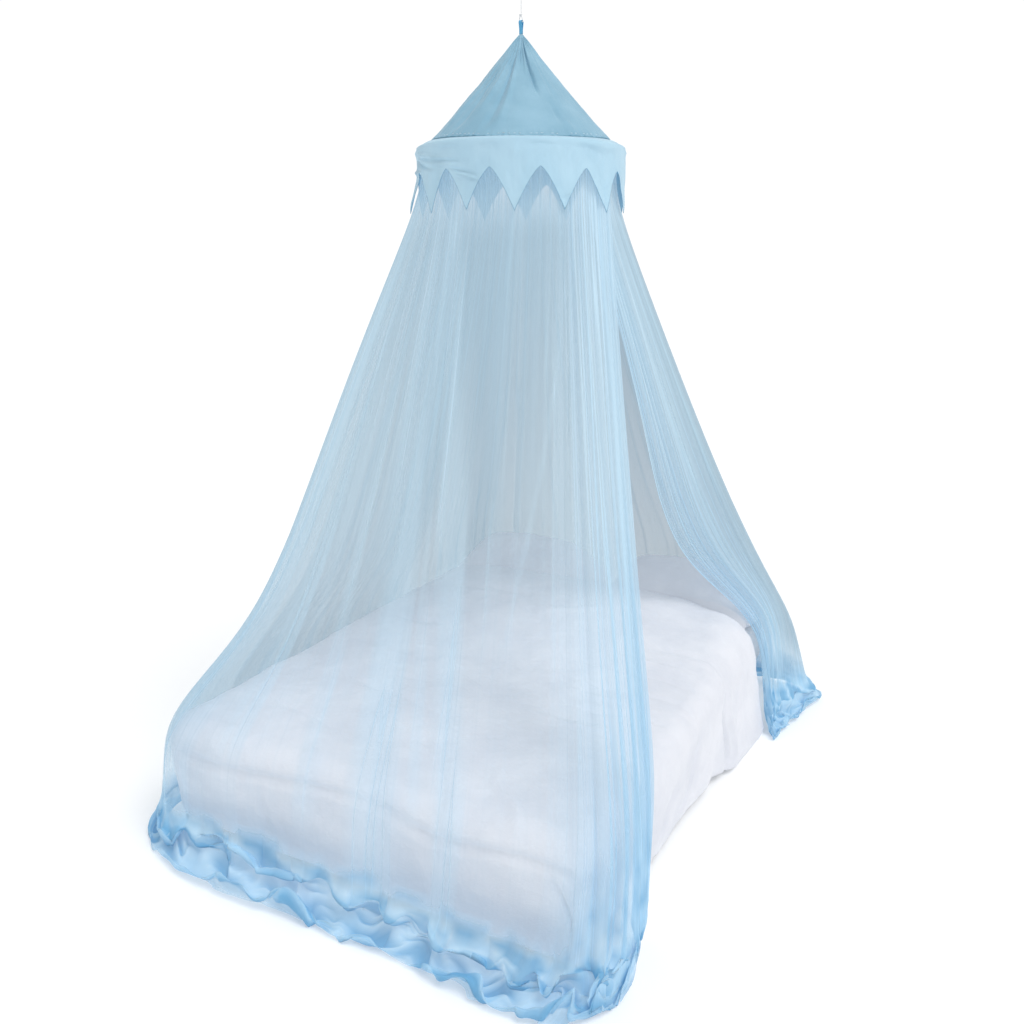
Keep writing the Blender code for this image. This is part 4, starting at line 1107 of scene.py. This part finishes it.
def block_mesh(name, low, high, rounding, rows, bulge=0.0):
    """A box with rounded edges and slightly full sides, as rings of a rounded rectangle."""
    corner = rounding * 1.6
    height = high[2] - low[2]
    angles = [math.radians(15 * step) for step in range(7)]
    foot = [(rounding * (1 - math.sin(a)), low[2] + rounding * (1 - math.cos(a))) for a in angles]
    shares = [step / rows for step in range(1, rows)]
    straight = height - 2 * rounding
    sides = [(-bulge * math.sin(math.pi * s), low[2] + rounding + straight * s) for s in shares]
    profile = foot + sides + [(inset, high[2] - (z - low[2])) for inset, z in foot[::-1]]
    outline = corner_ring(low, high, corner, 12)[::-1]
    rings = [
        [(x + (corner - inset) * dx, y + (corner - inset) * dy, z) for x, y, dx, dy in outline]
        for inset, z in profile
    ]
    return skinned(name, rings, 50)


def cover_finish(name, dark, light, threads):
    """A woven cover on a block, its threads crossing along the block's own axes."""
    cover = Finish(name, Roughness=0.88, Sheen_Weight=0.2)
    place = cover.place()
    x, y, z = (cover.part(place, axis).waves(threads) for axis in (0, 1, 2))
    cloudy = cover.cloud(place, (6.0, 6.0, 6.0), detail=4.0)
    cover.wear(Base_Color=cover.mix(cloudy.ramp(0.3, 0.7), dark, light))
    cover.relief(x * y * z * 0.3 + cloudy * 2.0, 0.0006)
    return cover.material


base = into_scene("base_box", block_mesh("base_box", BASE_LOW, BASE_HIGH, BASE_ROUNDING, 3),
                  cover_finish("grey_base_cloth", colour(176, 179, 184), colour(190, 193, 197), 500.0))
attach(base, "root")
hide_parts("bed_base")


# The mattress: sprung and quilted, in off-white cloth, with corded tape round its two edges.
MATTRESS_LOW, MATTRESS_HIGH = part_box("mattress")
MATTRESS_TOP = MATTRESS_HIGH[2]
MATTRESS_ROUNDING = 0.035
MATTRESS_BULGE = 0.003
PIPING_ROD = 0.005
PIPING_CORNER = 0.056
PIPING_INSET = 0.008
PIPING_EDGE = 0.022


def piping(z):
    """The corded tape round the mattress at one height."""
    ring = np.array(corner_ring(MATTRESS_LOW, MATTRESS_HIGH, PIPING_CORNER, 10))
    outs = np.pad(ring[:, 2:], ((0, 0), (0, 1)))
    path = np.pad(ring[:, :2], ((0, 0), (0, 1)), constant_values=z) + outs * (PIPING_CORNER - PIPING_INSET)
    return tube("piping", path, outs, PIPING_ROD, 10)


def quilt_finish():
    quilt = Finish("quilted_mattress_cloth", Roughness=0.85, Sheen_Weight=0.2)
    place = quilt.place()
    x, y = quilt.part(place, 0), quilt.part(place, 1)
    lozenge = (x + y).waves(5.0) * (x - y).waves(5.0)
    threads = x.waves(600.0) * y.waves(600.0)
    cloudy = quilt.cloud(place, (5.0, 5.0, 5.0), detail=3.0)
    quilt.wear(Base_Color=quilt.mix(cloudy.ramp(0.3, 0.7), colour(222, 222, 226), colour(234, 234, 237)))
    quilt.relief(lozenge ** 0.4 * 4.0 + threads * 0.1, 0.0015)
    return quilt.material


mattress_body = block_mesh("mattress_body", MATTRESS_LOW, MATTRESS_HIGH, MATTRESS_ROUNDING, 4, MATTRESS_BULGE)
tapes = [piping(MATTRESS_LOW[2] + PIPING_EDGE), piping(MATTRESS_TOP - PIPING_EDGE)]
mattress_mesh = joined("mattress_quilted", [mattress_body, *tapes], 50)
mattress = into_scene("mattress_quilted", mattress_mesh, quilt_finish())
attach(mattress, "root")
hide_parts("mattress")


# The duvet: white cotton, softly filled. It lies over the bed, rises over the pillows' front edge,
# and hangs at the foot and both sides; its right side parts in a slit over the bed's edge.
BED_WIDTH = 1.46
BED_LENGTH = 1.90
BED_TOP = 0.403
DUVET_THICKNESS = 0.028
DUVET_EDGE_RADIUS = 0.075
DUVET_HEAD_RADIUS = 0.190
DUVET_HEAD_Y = 0.615
DUVET_LIFT_Y = 0.43
DUVET_CROWN = 0.030
DUVET_RISE = 0.090
DUVET_RIM_STEPS = 3
DUVET_RIM_REACH = 0.8
DUVET_DROP_STEPS = 43
DUVET_ACROSS_STEPS = 116
DUVET_ALONG_STEPS = 160

# A square's corners from the same first one, the other way round, for a piece's other side.
TURNED = [0, 3, 2, 1]

# Where the hanging edge ends and how far it flares out, at places along each side, head last.
DuvetHang = namedtuple("DuvetHang", "place hem_z flare")
DUVET_HANGS = {
    "right": [
        DuvetHang(-0.88, 0.050, -0.030), DuvetHang(-0.30, 0.045, -0.035), DuvetHang(0.12, 0.045, -0.015),
        DuvetHang(0.30, 0.025, 0.030), DuvetHang(0.62, 0.020, 0.040),
    ],
    "foot": [DuvetHang(-0.60, 0.070, -0.025), DuvetHang(0.15, 0.050, -0.035), DuvetHang(0.60, 0.060, -0.030)],
    "left": [DuvetHang(-0.88, 0.060, -0.020), DuvetHang(0.00, 0.060, -0.030), DuvetHang(0.62, 0.045, 0.010)],
}

# Creases in the duvet's top and hanging sides, each from one point to another on the bed as seen
# from above, with places past the edge counted down its side; minus stands up as a ridge.
Crease = namedtuple("Crease", "from_x from_y to_x to_y width depth")
DUVET_CREASES = [
    Crease(0.20, 0.05, 0.72, -0.02, 0.014, 0.0102),
    Crease(0.25, 0.12, 0.70, 0.06, 0.015, -0.0085),
    Crease(0.30, -0.10, 0.74, -0.12, 0.012, 0.0093),
    Crease(0.28, -0.17, 0.66, -0.22, 0.015, -0.0085),
    Crease(0.34, -0.26, 0.70, -0.27, 0.011, 0.0085),
    Crease(0.24, -0.36, 0.66, -0.42, 0.017, -0.0076),
    Crease(0.40, 0.24, 0.76, 0.20, 0.015, 0.0085),
    Crease(-0.60, -0.62, -0.10, -0.80, 0.017, 0.0076),
    Crease(-0.45, -0.40, 0.05, -0.55, 0.020, 0.0085),
    Crease(-0.20, -0.15, 0.15, -0.45, 0.020, -0.0085),
    Crease(0.05, -0.60, 0.30, -0.93, 0.015, 0.0093),
    Crease(0.35, -0.70, 0.52, -0.95, 0.014, -0.0085),
    Crease(-0.62, 0.10, -0.20, 0.02, 0.020, 0.0085),
    Crease(-0.55, 0.42, -0.05, 0.36, 0.022, 0.0102),
    Crease(-0.10, 0.30, 0.40, 0.42, 0.020, -0.0093),
    Crease(-0.78, -1.005, 0.30, -0.995, 0.016, 0.0140),
    Crease(0.10, -0.990, 0.78, -1.010, 0.015, 0.0140),
    Crease(0.62, -0.98, 0.80, -1.20, 0.014, 0.0120),
    Crease(-0.30, -1.02, -0.34, -1.26, 0.020, 0.0060),
    Crease(0.28, -1.02, 0.22, -1.28, 0.022, -0.0060),
    Crease(0.74, 0.20, 1.12, 0.215, 0.011, 0.0240),
    Crease(0.76, 0.25, 1.10, 0.285, 0.016, -0.0100),
    Crease(0.80, -0.05, 1.06, -0.20, 0.016, 0.0090),
    Crease(0.86, -0.30, 1.08, -0.42, 0.018, 0.0080),
    Crease(0.78, 0.44, 0.98, 0.28, 0.016, 0.0090),
]


def duvet_top(x, y):
    """The height of the made bed: crowned, and rising over the pillows."""
    along = np.clip((y + BED_LENGTH / 2) / BED_LENGTH, 0.0, 1.0)
    crown = DUVET_CROWN * np.sin(np.pi * along) * (1.0 - 0.3 * step_up(along, 0.0, 1.0))
    rise = DUVET_RISE * step_up(y, -0.10, DUVET_HEAD_Y)
    across = 1.0 - np.minimum(np.abs(x) / (BED_WIDTH / 2), 1.0) ** 4
    return BED_TOP + (rise + crown) * across


def hang_at(side, place, value):
    rows = DUVET_HANGS[side]
    found = getattr(rows[0], value)
    for lower, upper in zip(rows, rows[1:]):
        change = getattr(upper, value) - getattr(lower, value)
        found = found + change * step_up(place, lower.place, upper.place)
    return found


def edge_radius(y):
    return DUVET_EDGE_RADIUS + (DUVET_HEAD_RADIUS - DUVET_EDGE_RADIUS) * step_up(y, 0.05, 0.55)


def duvet_face(x, y, over_x, over_y):
    """The outer face, and where it lies when the duvet is laid flat."""
    radius = edge_radius(y)
    x = x * (BED_WIDTH / 2 - radius) / (BED_WIDTH / 2 - DUVET_EDGE_RADIUS)
    top_z = duvet_top(x, y)
    past_edge = np.maximum(np.hypot(over_x, over_y), 1e-9)
    to_x, to_y = over_x / past_edge, -over_y / past_edge

    def hang(value):
        side = np.where(over_x > 0, hang_at("right", y, value), hang_at("left", y, value))
        return side * to_x ** 2 + hang_at("foot", x, value) * (1 - to_x ** 2)

    arc = 0.5 * np.pi * radius
    straight = top_z - radius - hang("hem_z")
    run = np.maximum(np.abs(over_x), over_y) * (arc + straight)
    bend = np.minimum(run / radius, np.pi / 2)
    below = np.maximum(run - arc, 0.0)
    out = radius * np.sin(bend) + hang("flare") * (below / straight) ** 1.5
    down = radius * (1 - np.cos(bend)) + below
    outer = np.stack([x + to_x * out, y + to_y * out, top_z - down], axis=-1)
    return outer, np.stack([x + to_x * run, y + to_y * run], axis=-1)


def duvet_under(x, y):
    """The height of the duvet's underside: on the mattress, and lifted over the pillows."""
    radius = edge_radius(y)
    flat_half = BED_WIDTH / 2 - radius
    past = np.clip(np.abs(x) - flat_half, 0.0, radius)
    top_z = duvet_top(np.clip(x, -flat_half, flat_half), y)
    hollow_z = top_z - radius + np.sqrt(radius ** 2 - past ** 2) - DUVET_THICKNESS
    rest_z = MATTRESS_TOP + STRAND_GAP
    return rest_z + step_up(y, DUVET_LIFT_Y, DUVET_HEAD_Y) * np.maximum(hollow_z - rest_z, 0.0)


def filled_shell(name, outer, inner):
    """A closed padded sheet: two faces, joined round their border by a half-round rim."""
    rows, columns = outer.shape[:2]
    number = np.arange(rows * columns).reshape(rows, columns)
    border = np.concatenate([number[0], number[1:, -1], number[-1, -2::-1], number[-2:0:-1, 0]])
    next_in = np.pad(number[1:-1, 1:-1], 1, mode="edge").reshape(-1)[border]
    upper, lower = outer.reshape(-1, 3), inner.reshape(-1, 3)
    top, across = upper[border], lower[border] - upper[border]
    away = top - upper[next_in]
    thickness = np.linalg.norm(across, axis=1, keepdims=True)
    away = away - across * (away * across).sum(axis=1, keepdims=True) / (thickness ** 2 + 1e-12)
    away = unit(away) * thickness / 2
    points, loops = [upper, lower], [border]
    for step in range(DUVET_RIM_STEPS):
        angle = math.pi * (step + 1) / (DUVET_RIM_STEPS + 1)
        points.append(top + across / 2 * (1 - math.cos(angle)) + away * math.sin(angle) * DUVET_RIM_REACH)
        loops.append(2 * rows * columns + step * len(border) + np.arange(len(border)))
    loops = np.array(loops + [rows * columns + border])
    loops = np.concatenate([loops, loops[:, :1]], axis=1)
    faces = [quads(number), quads(rows * columns + number)[..., TURNED], quads(loops)[..., TURNED]]
    faces = np.concatenate([face.reshape(-1, 4) for face in faces]).tolist()
    return smooth_mesh(name, np.concatenate(points), faces)


def crease_sink(flat):
    """How far the creases sink the duvet's face, at flat places in metres."""
    sink = np.zeros(flat.shape[:-1])
    for crease in DUVET_CREASES:
        start, end = np.array([crease.from_x, crease.from_y]), np.array([crease.to_x, crease.to_y])
        run = end - start
        length = np.linalg.norm(run)
        share = ((flat - start) @ run) / length ** 2
        bow = 0.02 * np.sin(np.pi * np.clip(share, 0, 1) * 2)
        side = ((flat - start) @ np.array([-run[1], run[0]])) / length + bow
        sink += crease.depth * np.exp(-((side / crease.width) ** 2)) * between(share, -0.05, 0.30, 1.05, 0.30)
    return sink


def duvet_faces():
    """The creased outer face and the inner one."""
    half = BED_WIDTH / 2 - DUVET_EDGE_RADIUS
    foot_y = DUVET_EDGE_RADIUS - BED_LENGTH / 2
    drops = np.linspace(0.0, 1.0, DUVET_DROP_STEPS + 1)[1:]
    x = np.pad(np.linspace(half, -half, DUVET_ACROSS_STEPS), DUVET_DROP_STEPS, mode="edge")
    y = np.pad(np.linspace(DUVET_HEAD_Y, foot_y, DUVET_ALONG_STEPS), (0, DUVET_DROP_STEPS), mode="edge")
    over_x = np.concatenate([drops[::-1], np.zeros(DUVET_ACROSS_STEPS), -drops])
    over_y = np.concatenate([np.zeros(DUVET_ALONG_STEPS), drops])
    x, y, over_x, over_y = np.broadcast_arrays(x[None, :], y[:, None], over_x[None, :], over_y[:, None])
    outer, flat = duvet_face(x, y, over_x, over_y)
    out, _ = facing(outer)
    inner = outer - out * DUVET_THICKNESS
    on_bed = (over_x == 0.0) & (over_y == 0.0)
    inner[on_bed, 2] = duvet_under(inner[on_bed, 0], inner[on_bed, 1])
    soft = 0.0075 * lumps(outer, 0.30, 2.0) + 0.0035 * lumps(outer * [1.0, 1.4, 1.0], 0.09, 6.0)
    soft += 0.0012 * lumps(outer * [1.0, 2.0, 1.0], 0.03, 4.0)
    return outer + out * (soft - crease_sink(flat))[..., None], inner


def cotton_finish(name, dark, light):
    """White cotton, a little crinkled. Its faint pale blue glow is painted light, brightening it in the net's
    shade.
    """
    cotton = Finish(name, Roughness=0.9, Sheen_Weight=0.15, Emission_Strength=0.20,
                    Emission_Color=(0.88, 0.93, 1.0, 1.0))
    place = cotton.place()
    cloudy = cotton.cloud(place, (5.0, 5.0, 5.0), detail=3.0)
    crinkle = cotton.cloud(place, (38.0, 55.0, 38.0), detail=5.0, roughness=0.6)
    threads = cotton.part(place, 0).waves(900.0) * cotton.part(place, 1).waves(900.0)
    cotton.wear(Base_Color=cotton.mix(cloudy.ramp(0.3, 0.7), dark, light))
    cotton.relief(crinkle * 1.3 + threads * 0.08, 0.0018)
    return cotton.material


white_cotton = cotton_finish("white_cotton_cover", colour(195, 197, 205), colour(207, 208, 214))
duvet = into_scene("duvet_cover", filled_shell("duvet_cover", *duvet_faces()), white_cotton)
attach(duvet, "root")
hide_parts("duvet")


# The pillows: two white cotton ones, plump at the back and pressed flat in front under the duvet.
PILLOW_DEPTH = 0.37
PILLOW_HEIGHT = 0.22
PILLOW_Y = 0.760
PILLOW_CREST = 0.35
PILLOW_PRESS = 0.018
PILLOW_DRAW = 0.05
PILLOW_FRONT_NARROWING = 0.30
PILLOW_SEAM_HEIGHT = 0.040
PILLOW_STEPS = (90, 60)
Pillow = namedtuple("Pillow", "piece node x width seed")
PILLOWS = [
    Pillow("pillow_far", "pillow_left", -0.335, 0.69, 2.0),
    Pillow("pillow_near", "pillow_right", 0.375, 0.67, 6.0),
]


def pillow_faces(row):
    """The pillow's upper and lower faces, over even turns that crowd towards its seam."""
    turn_x, turn_y = (np.pi * np.arange(steps + 1) / steps for steps in PILLOW_STEPS)
    u, v = np.meshgrid(-np.cos(turn_x), -np.cos(turn_y))
    pull = 1.0 - PILLOW_DRAW * ((1 - u * u) * np.abs(v) + (1 - v * v) * np.abs(u))
    narrowing = 1.0 - PILLOW_FRONT_NARROWING * np.maximum(-v, 0.0) ** 3
    x = row.x + 0.5 * row.width * u * pull * narrowing
    y = PILLOW_Y + 0.5 * PILLOW_DEPTH * v * pull
    slope = np.abs(v - PILLOW_CREST) / np.where(v < PILLOW_CREST, 1.0 + PILLOW_CREST, 1.0 - PILLOW_CREST)
    plump = np.maximum((1 - u ** 4) * (1 - slope ** 1.6), 0.0) ** 0.85
    bottom_z = MATTRESS_TOP + STRAND_GAP
    seam_z = bottom_z + PILLOW_SEAM_HEIGHT * (1.0 + 0.5 * np.abs(u * v))
    top_z = seam_z + (bottom_z + PILLOW_HEIGHT - seam_z) * plump
    pressed_z = np.minimum(top_z, duvet_under(x, y) - PILLOW_PRESS)
    top_z = np.where(y < DUVET_HEAD_Y + 0.02, pressed_z, top_z)
    lower_z = bottom_z + (np.minimum(seam_z, top_z) - bottom_z) * np.maximum(1 - 2.2 * plump, 0.0)
    upper = np.stack([x, y, top_z], axis=-1)
    inside = np.sin(turn_y)[:, None] * np.sin(turn_x)[None, :]
    free = step_up(y, DUVET_HEAD_Y + 0.01, DUVET_HEAD_Y + 0.05) * np.minimum(inside * 3, 1)
    soft = 0.007 * lumps(upper, 0.16, row.seed) + 0.003 * lumps(upper * [1.0, 1.8, 1.0], 0.05, row.seed)
    upper[..., 2] += soft * free
    return upper, np.stack([x, y, lower_z], axis=-1)


def pillow_mesh(row):
    """Both faces as one closed mesh that shares its border, the seam."""
    upper, lower = pillow_faces(row)
    rows, columns = upper.shape[:2]
    number = np.arange(rows * columns).reshape(rows, columns)
    under = number.copy()
    under[1:-1, 1:-1] = rows * columns + np.arange((rows - 2) * (columns - 2)).reshape(rows - 2, columns - 2)
    faces = np.concatenate([quads(number).reshape(-1, 4), quads(under)[..., TURNED].reshape(-1, 4)]).tolist()
    points = np.concatenate([upper.reshape(-1, 3), lower[1:-1, 1:-1].reshape(-1, 3)])
    return smooth_mesh(row.piece, points, faces)


for row in PILLOWS:
    pillow = into_scene(row.piece, pillow_mesh(row), white_cotton)
    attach(pillow, "root")
    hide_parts(row.node)


# The studio: a plain white floor, a bright plain surround, one large soft light from the bed's open
# side and a weaker one from the other.
FLOOR_HALF = 60.0
FLOOR_Z = -0.0005
KEY_TURN = -12.0
SURROUND_LIGHT = 0.58
SURROUND_SEEN = 1.03


def soft_sun(name, turn, height, spread, power):
    """A broad soft light from one side, the same all over the floor."""
    data = bpy.data.lights.new(name, "SUN")
    data.energy = power
    data.angle = math.radians(spread)
    light = bpy.data.objects.new(name, data)
    light.rotation_euler = (math.radians(90 - height), 0.0, math.radians(turn + 90))
    bpy.context.scene.collection.objects.link(light)


white_floor = Finish("white_floor", Roughness=0.9, Specular_IOR_Level=0.1,
                     Base_Color=(0.80, 0.805, 0.81, 1.0),
                     Emission_Color=(0.94, 0.97, 1.0, 1.0), Emission_Strength=0.22)
floor_corners = [(x * FLOOR_HALF, y * FLOOR_HALF, FLOOR_Z) for x, y in ((-1, -1), (1, -1), (1, 1), (-1, 1))]
floor_mesh = bpy.data.meshes.new("floor")
floor_mesh.from_pydata(floor_corners, [], [(0, 1, 2, 3)])
floor = into_scene("floor", floor_mesh, white_floor.material)
soft_sun("open_side_light", KEY_TURN, 60.0, 36.0, 1.65)
soft_sun("far_side_light", KEY_TURN - 110.0, 35.0, 60.0, 0.15)
world = bpy.data.worlds.new("surround")
world.use_nodes = True
sky = world.node_tree.nodes["Background"]
seen = world.node_tree.nodes.new("ShaderNodeLightPath")
strength = world.node_tree.nodes.new("ShaderNodeMapRange")
strength.inputs["To Min"].default_value = SURROUND_LIGHT
strength.inputs["To Max"].default_value = SURROUND_SEEN
world.node_tree.links.new(seen.outputs["Is Camera Ray"], strength.inputs["Value"])
world.node_tree.links.new(strength.outputs["Result"], sky.inputs["Strength"])
sky.inputs["Color"].default_value = (1.0, 1.0, 1.0, 1.0)
bpy.context.scene.world = world
bpy.context.scene.view_settings.view_transform = "Standard"
